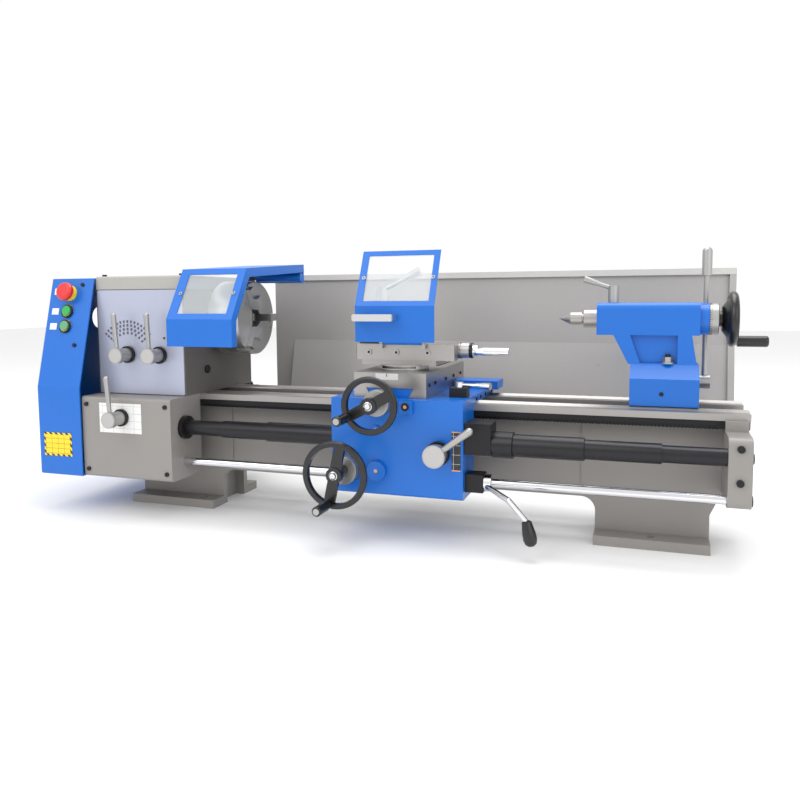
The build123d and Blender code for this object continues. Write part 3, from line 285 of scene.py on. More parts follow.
def ringed_finish(name, color, gloss, metal, pitch, axis="X"):
    """A finish with fine turned rings or wound steps along an axis."""
    made, tree, shader, vector = start_finish(name)
    vary(tree, shader, vector, color, gloss, 0.15, 600.0, 12.0, 0.1)
    wave = node(tree, "ShaderNodeTexWave", wave_type="BANDS", bands_direction=axis, wave_profile="SAW")
    wave.inputs["Scale"].default_value = 0.314 / pitch
    tree.links.new(vector, wave.inputs["Vector"])
    raised = node(tree, "ShaderNodeBump")
    raised.inputs["Strength"].default_value = 0.55
    raised.inputs["Distance"].default_value = 1.5 * MM
    tree.links.new(wave.outputs["Fac"], raised.inputs["Height"])
    tree.links.new(raised.outputs[0], shader.inputs["Normal"])
    shader.inputs["Metallic"].default_value = metal
    return made


def window_finish(name):
    """Clear plastic with faint wiping marks."""
    made, tree, shader, vector = start_finish(name)
    vary(tree, shader, vector, (0.72, 0.76, 0.78), 0.1, 0.05, 300.0, 14.0, 0.03, 0.08)
    shader.inputs["Alpha"].default_value = 0.28
    shader.inputs["IOR"].default_value = 1.49
    made.surface_render_method = "BLENDED"
    return made


def striped_finish(name, first, second, pitch):
    """Slanting stripes of two colours."""
    made, tree, shader, vector = start_finish(name)
    wave = node(tree, "ShaderNodeTexWave", wave_type="BANDS", bands_direction="DIAGONAL")
    wave.inputs["Scale"].default_value = 0.314 / pitch
    tree.links.new(vector, wave.inputs["Vector"])
    edge = maths(tree, "GREATER_THAN", wave.outputs["Fac"], 0.5)
    vary(tree, shader, vector, blend_colors(tree, edge, first, second), 0.45, 0.08, 500.0, 12.0, 0.05)
    return made


def chart_finish(name, paper, ink, cell):
    """A data plate ruled into blank cells."""
    made, tree, shader, vector = start_finish(name)
    swap = node(tree, "ShaderNodeSeparateXYZ")
    flat = node(tree, "ShaderNodeCombineXYZ")
    tree.links.new(vector, swap.inputs[0])
    tree.links.new(swap.outputs["X"], flat.inputs["X"])
    tree.links.new(swap.outputs["Z"], flat.inputs["Y"])
    cells = node(tree, "ShaderNodeTexBrick")
    cells.offset = 0.0
    cells.inputs["Scale"].default_value = 1.0
    cells.inputs["Brick Width"].default_value = cell[0]
    cells.inputs["Row Height"].default_value = cell[1]
    cells.inputs["Mortar Size"].default_value = 0.4 * MM
    cells.inputs["Color1"].default_value = (*paper, 1)
    cells.inputs["Color2"].default_value = (*paper, 1)
    cells.inputs["Mortar"].default_value = (*ink, 1)
    tree.links.new(flat.outputs[0], cells.inputs["Vector"])
    vary(tree, shader, vector, cells.outputs["Color"], 0.4, 0.06, 500.0, 12.0, 0.04)
    return made


def dark():
    """Blackened steel of screws and rings."""
    return finish("blackened_steel", (0.018, 0.018, 0.02), 0.4, 0.6)


def bright():
    """Polished plating of the nuts and the guard handle."""
    return finish("bright_plating", (0.68, 0.68, 0.69), 0.2, 0.95, tint=0.05, bump=0.03)


def satin():
    """Satin aluminium of knobs, dials and caps."""
    return finish("satin_aluminium", (0.40, 0.395, 0.385), 0.36, 0.8, tint=0.12, stretch=(1, 6, 1))


# Geometry Nodes trees

def grow(name, inputs):
    """An empty Geometry Nodes tree with named inputs, and its input and output sockets."""
    tree = bpy.data.node_groups.new(name, "GeometryNodeTree")
    tree.interface.new_socket(name="Geometry", in_out="INPUT", socket_type="NodeSocketGeometry")
    for socket, kind in inputs:
        tree.interface.new_socket(name=socket, in_out="INPUT", socket_type=f"NodeSocket{kind}")
    tree.interface.new_socket(name="Geometry", in_out="OUTPUT", socket_type="NodeSocketGeometry")
    return tree, node(tree, "NodeGroupInput").outputs, node(tree, "NodeGroupOutput").inputs[0]


def end_tree(tree, instances, material, result):
    """Ends a tree in Realize Instances and Set Material."""
    realize = node(tree, "GeometryNodeRealizeInstances")
    paint = node(tree, "GeometryNodeSetMaterial")
    tree.links.new(instances, realize.inputs[0])
    tree.links.new(realize.outputs[0], paint.inputs["Geometry"])
    tree.links.new(material, paint.inputs["Material"])
    tree.links.new(paint.outputs[0], result)


def block_size(tree, given):
    """A cube whose size comes from the inputs Length, Width and Depth."""
    size = node(tree, "ShaderNodeCombineXYZ")
    for index, name in enumerate(("Length", "Width", "Depth")):
        tree.links.new(given[name], size.inputs[index])
    cube = node(tree, "GeometryNodeMeshCube")
    tree.links.new(size.outputs[0], cube.inputs["Size"])
    return cube.outputs[0]


def arc_tree():
    """Blocks set round an arc about local Z, each pointing away from the centre."""
    known = bpy.data.node_groups.get("ArcOfMarks")
    if known:
        return known
    tree, given, result = grow("ArcOfMarks", (
        ("Count", "Int"), ("Radius", "Float"), ("Start", "Float"), ("Step", "Float"),
        ("Length", "Float"), ("Width", "Float"), ("Depth", "Float"), ("Material", "Material")))
    line = node(tree, "GeometryNodeMeshLine")
    tree.links.new(given["Count"], line.inputs["Count"])
    line.inputs["Offset"].default_value = (0, 0, 0)
    index = node(tree, "GeometryNodeInputIndex").outputs[0]
    angle = maths(tree, "ADD", maths(tree, "MULTIPLY", index, given["Step"]), given["Start"])
    spot = node(tree, "ShaderNodeCombineXYZ")
    tree.links.new(maths(tree, "MULTIPLY", maths(tree, "COSINE", angle, 0), given["Radius"]), spot.inputs[0])
    tree.links.new(maths(tree, "MULTIPLY", maths(tree, "SINE", angle, 0), given["Radius"]), spot.inputs[1])
    move = node(tree, "GeometryNodeSetPosition")
    tree.links.new(line.outputs[0], move.inputs["Geometry"])
    tree.links.new(spot.outputs[0], move.inputs["Position"])
    turn = node(tree, "ShaderNodeCombineXYZ")
    tree.links.new(angle, turn.inputs[2])
    copies = node(tree, "GeometryNodeInstanceOnPoints")
    tree.links.new(move.outputs[0], copies.inputs["Points"])
    tree.links.new(block_size(tree, given), copies.inputs["Instance"])
    tree.links.new(turn.outputs[0], copies.inputs["Rotation"])
    end_tree(tree, copies.outputs[0], given["Material"], result)
    return tree


def row_tree():
    """Blocks in a straight row along local X."""
    known = bpy.data.node_groups.get("RowOfBlocks")
    if known:
        return known
    tree, given, result = grow("RowOfBlocks", (
        ("Count", "Int"), ("Pitch", "Float"), ("Length", "Float"), ("Width", "Float"), ("Depth", "Float"),
        ("Material", "Material")))
    line = node(tree, "GeometryNodeMeshLine")
    step = node(tree, "ShaderNodeCombineXYZ")
    tree.links.new(given["Pitch"], step.inputs[0])
    tree.links.new(given["Count"], line.inputs["Count"])
    tree.links.new(step.outputs[0], line.inputs["Offset"])
    copies = node(tree, "GeometryNodeInstanceOnPoints")
    tree.links.new(line.outputs[0], copies.inputs["Points"])
    tree.links.new(block_size(tree, given), copies.inputs["Instance"])
    end_tree(tree, copies.outputs[0], given["Material"], result)
    return tree


def screw_tree():
    """A socket screw head on each point of a mesh, standing along local Z."""
    known = bpy.data.node_groups.get("SocketScrews")
    if known:
        return known
    tree, given, result = grow("SocketScrews", (
        ("Sides", "Int"), ("Radius", "Float"), ("Height", "Float"), ("Material", "Material")))
    post = node(tree, "GeometryNodeMeshCylinder")
    tree.links.new(given["Sides"], post.inputs["Vertices"])
    tree.links.new(given["Radius"], post.inputs["Radius"])
    tree.links.new(given["Height"], post.inputs["Depth"])
    copies = node(tree, "GeometryNodeInstanceOnPoints")
    tree.links.new(given["Geometry"], copies.inputs["Points"])
    tree.links.new(post.outputs[0], copies.inputs["Instance"])
    end_tree(tree, copies.outputs[0], given["Material"], result)
    return tree


def place(name, mesh, body, slot_name, material=None, matrix=None, hides=()):
    """Links a finished mesh as a piece that rides on a body."""
    if matrix is not None:
        mesh.transform(matrix)
    piece = bpy.data.objects.new(name, mesh)
    bpy.context.scene.collection.objects.link(piece)
    if material is not None:
        mesh.materials.clear()
        mesh.materials.append(material)
    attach(piece, body)
    if hides:
        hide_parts(*hides)
    return piece


def run_tree(name, tree, values, points=()):
    """Runs a tree on some points and returns the plain mesh."""
    mesh = bpy.data.meshes.new(name + "_points")
    mesh.from_pydata([tuple(point) for point in points], [], [])
    carrier = bpy.data.objects.new(name + "_tree", mesh)
    bpy.context.scene.collection.objects.link(carrier)
    modifier = carrier.modifiers.new("Build", "NODES")
    modifier.node_group = tree
    for item in tree.interface.items_tree:
        if item.item_type == "SOCKET" and item.in_out == "INPUT" and item.name in values:
            modifier[item.identifier] = values[item.name]
    bpy.context.view_layer.update()
    built = bpy.data.meshes.new_from_object(carrier.evaluated_get(bpy.context.evaluated_depsgraph_get()))
    carrier.modifiers.clear()
    bpy.data.objects.remove(carrier)
    built.name = name
    return built


def aim(at, axis):
    """The place of a piece whose local Z points along an axis."""
    return Matrix.Translation(at) @ Vector(axis).to_track_quat("Z", "Y").to_matrix().to_4x4()


def lathe_turned(outline, sides=64):
    """A closed solid of revolution about local Z, from points of radius and height."""
    mesh = bpy.data.meshes.new("turned")
    shape = bmesh.new()
    points = [shape.verts.new((radius, 0, height)) for radius, height in outline]
    edges = [shape.edges.new(pair) for pair in zip(points, points[1:])]
    bmesh.ops.spin(shape, geom=points + edges, cent=(0, 0, 0), axis=(0, 0, 1), angle=math.tau, steps=sides)
    bmesh.ops.remove_doubles(shape, verts=shape.verts, dist=1e-6)
    bmesh.ops.recalc_face_normals(shape, faces=shape.faces)
    shape.to_mesh(mesh)
    shape.free()
    mesh.shade_smooth()
    mesh.set_sharp_from_angle(angle=math.radians(35))
    return mesh


def sleeve(inner, outer, start, end, round_off=0.6 * MM):
    """A closed ring between two radii and two heights, with softened outer edges."""
    soft = min(round_off, (end - start) / 3)
    return lathe_turned(((inner, start), (outer - soft, start), (outer, start + soft), (outer, end - soft),
                         (outer - soft, end), (inner, end), (inner, start)))


def disc(radius, start, end, round_off=0.8 * MM):
    """A closed disc between two heights, with a softened rim."""
    soft = min(round_off, (end - start) / 2.5)
    return lathe_turned(((0, start), (radius, start), (radius, end - soft), (radius - soft, end), (0, end)))


def box_mesh(lowest, highest, round_off=0.0):
    """A block between two corners, with softened edges."""
    mesh = bpy.data.meshes.new("block")
    shape = bmesh.new()
    bmesh.ops.create_cube(shape, size=1)
    for vert in shape.verts:
        vert.co = Vector([(b - a) * (c + 0.5) + a for a, b, c in zip(lowest, highest, vert.co)])
    if round_off:
        bmesh.ops.bevel(shape, geom=shape.edges[:], offset=round_off, segments=2, affect="EDGES")
    shape.to_mesh(mesh)
    shape.free()
    return mesh


def dial_marks(name, body, at, axis, radius, start, count, width, length=4 * MM, depth=0.5 * MM):
    """Graduations round a dial, whose far end stands at a height along its axis."""
    values = {"Count": count, "Radius": radius, "Start": 0.0, "Step": math.tau / count, "Length": depth,
              "Width": width, "Depth": length, "Material": dark()}
    place(name, run_tree(name, arc_tree(), values), body, "black_matte",
          matrix=aim(at, axis) @ Matrix.Translation((0, 0, start)))


# Operators: the CAD pieces' finishes

class LATHE_OT_castings(bpy.types.Operator):
    """Gives every CAD piece its paint or metal"""

    bl_idname = "lathe.castings"
    bl_label = "Paint and metal"

    def execute(self, context):
        paint = context.scene.lathe_paint
        blue = finish("blue_enamel", paint.blue, 0.34, coat=0.0, tint=0.1, grain=260, bump=0.16)
        taupe = finish("taupe_enamel", paint.taupe, 0.42, coat=0.1, tint=0.1, grain=320, bump=0.22)
        ground = finish("ground_steel", paint.steel, 0.3, 0.9, tint=0.16, grain=700, stretch=(1, 14, 1))
        turned = finish("turned_steel", (0.5, 0.5, 0.5), 0.3, 0.92, tint=0.12, grain=500, stretch=(12, 1, 1))
        chrome = finish("chrome_plate", (0.72, 0.72, 0.74), 0.12, 1.0, tint=0.04, grain=300, bump=0.03)
        black = finish("black_gloss", (0.004, 0.004, 0.0045), 0.3, coat=0.15, tint=0.2, grain=350, bump=0.05)
        groups = {
            "blue_enamel": (blue, "end_cover chuck_guard saddle apron tool_guard tailstock_body "
                                  "tailstock_base"),
            "taupe_enamel": (taupe, "feed_gearbox end_bracket"),
            "lid_enamel": (finish("lid_enamel", paint.lid, 0.4, coat=0.1), "headstock_lid"),
            # The headstock casting is painted much darker than its taupe: painted shade of its right side,
            # partly dark oil.
            "casting_painted_shade": (finish("casting_enamel_painted_shade", (0.115, 0.108, 0.102), 0.45), "headstock_casting"),
            "plate": (finish("satin_plate", paint.plate, 0.32, 0.35, tint=0.06), "front_panel"),
            "splash": (finish("splash_enamel", paint.splash, 0.3, coat=0.25, tint=0.12, grain=200, blotch=3),
                       "splash_guard"),
            "ground": (ground, "cross_slide top_slide swivel_base quill dead_centre spindle"),
            "turned": (turned, "chuck_body jaw_1 jaw_2 jaw_3 tool_post_lever spindle_bearings"),
            "chrome": (chrome, "control_rod top_slide_crank carriage_lock_lever control_lever"),
            "satin": (satin(), "speed_lever_left speed_lever_right feed_lever half_nut_lever quill_lock_lever "
                               "tail_clamp_lever spindle_pulley motor_pulley"),
            "black": (black, "cross_wheel carriage_wheel tail_wheel cross_wheel_handle carriage_wheel_handle "
                             "tail_wheel_handle"),
            "post": (finish("phosphated_steel", (0.07, 0.07, 0.072), 0.42, 0.7, tint=0.3), "tool_post"),
            "motor": (finish("motor_enamel", (0.05, 0.055, 0.06), 0.5), "motor"),
            "screws": (dark(), "machine_screws"),
            "copper": (finish("turned_copper", (0.62, 0.33, 0.18), 0.3, 0.95), "apron_fittings"),
            "belt": (ringed_finish("belt_rubber", (0.02, 0.02, 0.02), 0.7, 0.0, 3 * MM, "Y"), "drive_belt"),
            "covers": (ringed_finish("wound_steel", (0.022, 0.022, 0.025), 0.3, 0.6, 9 * MM),
                       "lead_covers_fixed lead_cover_left_mid lead_cover_right_mid lead_covers_carriage"),
            "screw": (ringed_finish("screw_thread", (0.4, 0.4, 0.4), 0.3, 0.9, 4 * MM), "leadscrew"),
            "bezel": (finish("bezel_plastic", paint.warning, 0.4, coat=0.2), "button_bezels"),
            "red": (finish("red_plastic", (0.62, 0.012, 0.012), 0.28, coat=0.3), "estop_button"),
            "green": (finish("green_plastic", (0.01, 0.36, 0.07), 0.3, coat=0.3), "start_button"),
            "pale_green": (finish("pale_green_plastic", (0.1, 0.32, 0.16), 0.3, coat=0.3), "stop_button"),
            "window": (window_finish("clear_sheet"), "chuck_guard_window tool_guard_window"),
            "bed": (bed_finish(paint), "bed"),
        }
        painted = set()
        for material, names in groups.values():
            for name in names.split():
                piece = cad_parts[name]
                for spot in piece.material_slots:
                    spot.material = material
                painted.add(name)
        missed = sorted(set(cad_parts) - painted)
        if missed:
            raise RuntimeError(f"no finish for {missed}")
        return {"FINISHED"}


class LATHE_OT_dials(bpy.types.Operator):
    """Adds satin dials with graduations, knob faces and the end caps of the handles"""

    bl_idname = "lathe.dials"
    bl_label = "Dials and caps"

    def execute(self, context):
        detail = context.scene.lathe_detail
        over = 0.35 * MM
        apron_face = low("apron").y
        for name, radius, spot in (("cross", 24 * MM, "alu"), ("carriage", 26 * MM, "alu")):
            wheel = f"{name}_wheel"
            lowest, highest = low(wheel), high(wheel)
            centre = Vector(((lowest.x + highest.x) / 2, apron_face - 0.3 * MM, (lowest.z + highest.z) / 2))
            deep = 28 * MM
            place(f"{wheel}_dial", sleeve(11 * MM, radius + over, 0.2 * MM, deep), wheel, spot, satin(),
                  aim(centre, FRONT))
            dial_marks(f"{wheel}_marks", wheel, centre, FRONT, radius + over, 4 * MM, detail.mark_count,
                       detail.mark_width)
            place(f"{wheel}_ring", sleeve(11 * MM, radius + 2 * over, deep * 0.42, deep * 0.5), wheel,
                  "black_matte", dark(), aim(centre, FRONT))
            hub = Vector((centre.x, lowest.y + (52 - 6) * MM, centre.z))
            dome = lathe_turned(((0, -2 * MM), (8 * MM, -2 * MM), (8 * MM, 1.5 * MM), (6.8 * MM, 2 * MM),
                                 (6.6 * MM, 4 * MM), (5.2 * MM, 7 * MM), (2.8 * MM, 8.8 * MM), (0, 9.4 * MM)))
            place(f"{wheel}_nut", dome, wheel, "steel", bright(), aim(hub, FRONT))
            handle = middle(f"{name}_wheel_handle")
            tip = Vector((handle.x, low(f"{name}_wheel_handle").y, handle.z))
            cap = disc(6 * MM, -0.5 * MM, 0.02 * MM)
            place(f"{wheel}_handle_cap", cap, f"{wheel}_handle", "steel", satin(),
                  aim(tip, FRONT))
            mark = Vector((centre.x, apron_face, centre.z + radius + 4 * MM))
            place(f"{wheel}_zero", box_mesh(mark - Vector((MM, MM, 3 * MM)), mark + Vector((MM, 0, 3 * MM))),
                  "carriage", "alu", satin())
        tail_x = high("tailstock_body").x
        centre = Vector((tail_x, 0, middle("tail_wheel").z))
        place("tail_dial", sleeve(9 * MM, 28.4 * MM, 0.4 * MM, 15.6 * MM), "tail_wheel", "alu", satin(),
              aim(centre, RIGHT))
        dial_marks("tail_dial_marks", "tail_wheel", centre, RIGHT, 28.4 * MM, 3 * MM, 40, detail.mark_width)
        collar = Vector((high("top_slide").x + 0.3 * MM, -75 * MM, 351 * MM))
        place("crank_dial", sleeve(6 * MM, 14.4 * MM, 0.2 * MM, 20 * MM), "top_slide_crank", "alu", satin(),
              aim(collar, RIGHT))
        place("crank_ring", sleeve(6 * MM, 14.8 * MM, 20.2 * MM, 27.5 * MM), "top_slide_crank", "black_matte",
              dark(), aim(collar, RIGHT))
        dial_marks("crank_dial_marks", "top_slide_crank", collar, RIGHT, 14.4 * MM, 3 * MM, 40,
                   detail.mark_width * 0.7, 3 * MM)
        for lever, radius in (("speed_lever_left", 16.5), ("speed_lever_right", 16.5), ("feed_lever", 16.5),
                              ("half_nut_lever", 20.7)):
            lowest, highest = low(lever), high(lever)
            x = highest.x - radius * MM if lever != "half_nut_lever" else lowest.x + radius * MM
            z = lowest.z + radius * MM
            face = Vector((x, lowest.y, z))
            place(f"{lever}_face", disc((radius - 2) * MM, -0.4 * MM, 0.5 * MM), lever, "alu",
                  finish("faced_aluminium", (0.46, 0.45, 0.44), 0.42, 0.6, tint=0.12), aim(face, FRONT))
            base = Vector((x, highest.y if lever != "half_nut_lever" else apron_face, z))
            place(f"{lever}_base", sleeve((radius - 5) * MM, (radius + 1.5) * MM, 0.5 * MM, 7 * MM), lever,
                  "black_matte", dark(), aim(base, FRONT))
        scale = Vector((middle("swivel_base").x, -70 * MM, high("cross_slide").z))
        quarter = math.radians(1)
        values = {"Count": 91, "Radius": 48.35 * MM, "Start": -math.pi / 2 - 45 * quarter, "Step": quarter,
                  "Length": 0.5 * MM, "Width": 0.35 * MM, "Depth": 5 * MM, "Material": dark()}
        ring = Vector((scale.x, scale.y, high("cross_slide").z))
        place("swivel_ring", sleeve(46.5 * MM, 48.3 * MM, 1.2 * MM, 9.4 * MM), "swivel", "alu",
              finish("scale_aluminium", (0.62, 0.62, 0.6), 0.35, 0.5), Matrix.Translation(ring))
        place("swivel_scale", run_tree("swivel_scale", arc_tree(), values), "swivel", "black_matte",
              matrix=Matrix.Translation(scale + 5.5 * MM * UP))
        return {"FINISHED"}


class LATHE_OT_fasteners(bpy.types.Operator):
    """Adds the socket screws, the rack under the front rail and the motor's fins"""

    bl_idname = "lathe.fasteners"
    bl_label = "Screws, rack and fins"

    def execute(self, context):
        detail = context.scene.lathe_detail
        radius = detail.head_radius

        def screws(name, body, places, axis, size=radius, tall=3 * MM, bright=False):
            flat = aim((0, 0, 0), axis)
            local = [flat.inverted() @ (spot + Vector(axis) * tall / 2) for spot in places]
            for part, share, rise, sides, metal in (("heads", 1.0, 0.0, 24, satin() if bright else dark()),
                                                    ("sockets", 0.52, 0.15 * MM, 6, dark())):
                values = {"Sides": sides, "Radius": size * share, "Height": tall + rise, "Material": metal}
                title = f"{name}_{part}"
                place(title, run_tree(title, screw_tree(), values, local), body,
                      "alu" if bright and part == "heads" else "black_matte", matrix=flat.copy())

        post_low, post_high = low("tool_post"), Vector((high("tool_post").x, high("tool_post").y, 430 * MM))
        inset = 9 * MM
        rows = [Vector((x, y, post_high.z)) for x in (post_low.x + inset, (post_low.x + post_high.x) / 2,
                                                     post_high.x - inset)
                for y in (post_low.y + inset, post_high.y - inset)]
        rows += [Vector((x, (post_low.y + post_high.y) / 2, post_high.z)) for x in
                 (post_low.x + inset, post_high.x - inset)]
        screws("tool_post_screws", "tool_post", rows, UP, 5 * MM, 9 * MM)
        for guard, window, count in (("chuck_guard", "chuck_guard_window", 2), ("tool_guard",
                                                                                "tool_guard_window", 2)):
            glass_low, glass_high = low(window), high(window)
            rise = (glass_high - glass_low)
            lean = Vector((0, -rise.z, rise.y)).normalized()
            glass_middle = (glass_low + glass_high) / 2
            spots = [Vector((x, glass_middle.y, glass_middle.z)) + lean * 3 * MM
                     for x in (glass_low.x + 1 * MM, glass_high.x - 1 * MM)]
            screws(f"{guard}_screws", guard, spots[:count], lean, 3.6 * MM, 2 * MM, True)
        slide_low = low("top_slide")
        screws("top_slide_bolts", "top_slide",
               [Vector((x, slide_low.y + 12.4 * MM, 348 * MM)) for x in (-58 * MM, -2 * MM, 60 * MM)],
               FRONT, 5.5 * MM, 3 * MM, True)
        bracket = Vector((high("end_bracket").x, -150 * MM, 0))
        screws("bracket_caps", "frame", [bracket + UP * 187 * MM, bracket + UP * 116 * MM], RIGHT,
               9 * MM, 3 * MM)
        screws("gib_screws", "carriage",
               [Vector((144 * MM, y, 258 * MM)) for y in (-70 * MM, -35 * MM, 10 * MM, 70 * MM)], RIGHT,
               3.5 * MM, 2 * MM)
        screws("cross_gib_screws", "cross_slide",
               [Vector((high("cross_slide").x, y, 290 * MM)) for y in (-140 * MM, -100 * MM, -20 * MM, 40 * MM,
                                                                     100 * MM)], RIGHT, 3.5 * MM, 2 * MM)
        nut = Vector((middle("tailstock_base").x + 6 * MM, -32 * MM, 330 * MM))
        for name, sides, size, tall, metal in (("washer", 24, 11, 2.5, satin()), ("nut", 6, 9, 12, satin()),
                                               ("stud", 16, 4.5, 17, dark())):
            values = {"Sides": sides, "Radius": size * MM, "Height": tall * MM, "Material": metal}
            title = f"tailstock_{name}"
            place(title, run_tree(title, screw_tree(), values, [(0, 0, tall * MM / 2)]), "tailstock", "steel",
                  matrix=aim(nut, UP))
        screws("tailstock_set_screw", "tailstock", [Vector((middle("tailstock_base").x - 4 * MM,
                                                           low("tailstock_base").y, 277 * MM))], FRONT,
               4 * MM, 1 * MM)
        pitch = detail.rack_pitch
        start = HEAD_RIGHT + 8 * MM
        count = int((low("end_bracket").x - start) / pitch)
        values = {"Count": count, "Pitch": pitch, "Length": pitch * 0.5, "Width": 7 * MM, "Depth": 5 * MM,
                  "Material": dark()}
        place("rack_teeth", run_tree("rack_teeth", row_tree(), values), "frame", "black_matte",
              matrix=Matrix.Translation((start, -84.2 * MM, RAIL_TOP - 25 * MM)))
        place("rack_bar", box_mesh((start - pitch, -87.5 * MM, RAIL_TOP - 22.6 * MM),
                                   (start + count * pitch, -80.3 * MM, RAIL_TOP - 12.4 * MM)), "frame",
              "black_matte", dark())
        values = {"Count": detail.fin_count, "Radius": 62.8 * MM, "Start": 0.0,
                  "Step": math.tau / detail.fin_count, "Length": 6 * MM, "Width": 1.6 * MM, "Depth": 130 * MM,
                  "Material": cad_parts["motor"].material_slots[0].material}
        fins = Vector(((low("motor").x + high("motor").x) / 2, 190 * MM, 170 * MM))
        place("motor_fins", run_tree("motor_fins", arc_tree(), values), "frame", "charcoal",
              matrix=aim(fins, RIGHT))
        return {"FINISHED"}


class LATHE_OT_plates(bpy.types.Operator):
    """Adds blank data plates, the striped warning plate and the button rings"""

    bl_idname = "lathe.plates"
    bl_label = "Plates"

    def execute(self, context):
        paint, detail = context.scene.lathe_paint, context.scene.lathe_detail
        thick = detail.plate_thickness
        white = (0.75, 0.75, 0.74)

        def plate(name, body, corner, size, material, slot_name="panel_grey", lift=0.0):
            near = Vector((corner[0], corner[1] - thick - lift, corner[2]))
            far = Vector((corner[0] + size[0], corner[1] - lift, corner[2] + size[1]))
            place(name, box_mesh(near, far, thick / 3), body, slot_name, material)

        cover_front = low("end_cover").y
        cover_left = low("end_cover").x
        sign = (cover_left + 17 * MM, cover_front, 120 * MM)
        plate("warning_border", "frame", sign, (72 * MM, 50 * MM),
              striped_finish("warning_stripes", paint.warning, (0.02, 0.02, 0.02), 7 * MM), "yellow")
        inner = (sign[0] + 4 * MM, sign[1], sign[2] + 4 * MM)
        plate("warning_plate", "frame", inner, (64 * MM, 42 * MM),
              chart_finish("warning_cells", paint.warning, (0.1, 0.08, 0.02), (16 * MM, 10.5 * MM)),
              "yellow", thick)
        feed = (low("feed_gearbox").x + 44 * MM, low("feed_gearbox").y, 176 * MM)
        plate("feed_chart", "frame", feed, (104 * MM, 62 * MM),
              chart_finish("feed_cells", white, (0.45, 0.45, 0.46), (26 * MM, 15.5 * MM)))
        face = low("front_panel").y
        speed = Vector((-597 * MM, face - 0.1 * MM, 335.5 * MM))
        for index, radius in enumerate((46, 54, 62, 70)):
            values = {"Count": 9 + 2 * index, "Radius": radius * MM, "Start": math.radians(38),
                      "Step": math.radians(104 / (8 + 2 * index)), "Length": 5.5 * MM, "Width": 4.4 * MM,
                      "Depth": thick, "Material": finish("chart_ink", (0.1, 0.1, 0.14), 0.5)}
            name = f"speed_chart_row_{index + 1}"
            place(name, run_tree(name, arc_tree(), values), "frame", "black_matte",
                  matrix=Matrix.Translation(speed) @ Matrix.Rotation(math.pi / 2, 4, "X"))
        index_plate = (low("cross_slide").x + 43 * MM, low("cross_slide").y,
                       high("cross_slide").z - 13.5 * MM)
        plate("index_plate", "cross_slide", index_plate, (45 * MM, 12 * MM),
              finish("index_white", (0.6, 0.6, 0.59), 0.4, 0.2), "alu")
        index_mark = (index_plate[0] + 22 * MM, index_plate[1], index_plate[2] + 6 * MM)
        plate("index_mark", "cross_slide", index_mark, (1.2 * MM, 5.6 * MM), dark(), "black_matte", thick)
        strip = (124 * MM, low("apron").y - 1.5 * MM, 142 * MM)
        plate("half_nut_strip", "carriage", strip, (16 * MM, 68 * MM),
              chart_finish("strip_cells", (0.02, 0.02, 0.022), (0.5, 0.5, 0.5), (15.9 * MM, 17 * MM)),
              "black_matte")
        for x, color, name in ((-506, (0.02, 0.02, 0.02), "black"), (-488, (0.6, 0.02, 0.02), "red")):
            spot = Vector((x * MM, face, 371 * MM))
            place(f"index_dot_{name}", disc(2.6 * MM, 0, thick), "frame", "black_matte",
                  finish(f"dot_{name}", color, 0.4), aim(spot, FRONT))
        run = COVER_FACE_HIGH - COVER_FACE_LOW
        outward = Vector((0, -run.z, run.y)).normalized()
        for button, size in (("estop_button", None), ("start_button", 14), ("stop_button", 14)):
            centre = middle(button)
            share = (centre.z - COVER_FACE_LOW.z) / run.z
            seat = Vector((centre.x, COVER_FACE_LOW.y + share * run.y, centre.z))
            if size:
                ring_at = seat + outward * 0.2 * MM
                place(f"{button}_ring", sleeve((size - 2.4) * MM, (size + 0.5) * MM, 0, 4.6 * MM), "frame",
                      "black_matte", dark(), aim(ring_at, outward))
            tag = box_mesh((-9 * MM, -7 * MM, -0.1 * MM), (9 * MM, 7 * MM, thick), thick / 3)
            across = Matrix((RIGHT, (outward.cross(RIGHT)).normalized(), outward)).transposed().to_4x4()
            place(f"{button}_tag", tag, "frame", "panel_grey", finish("tag_white", white, 0.4),
                  Matrix.Translation(seat + RIGHT * -33 * MM) @ across)
        return {"FINISHED"}


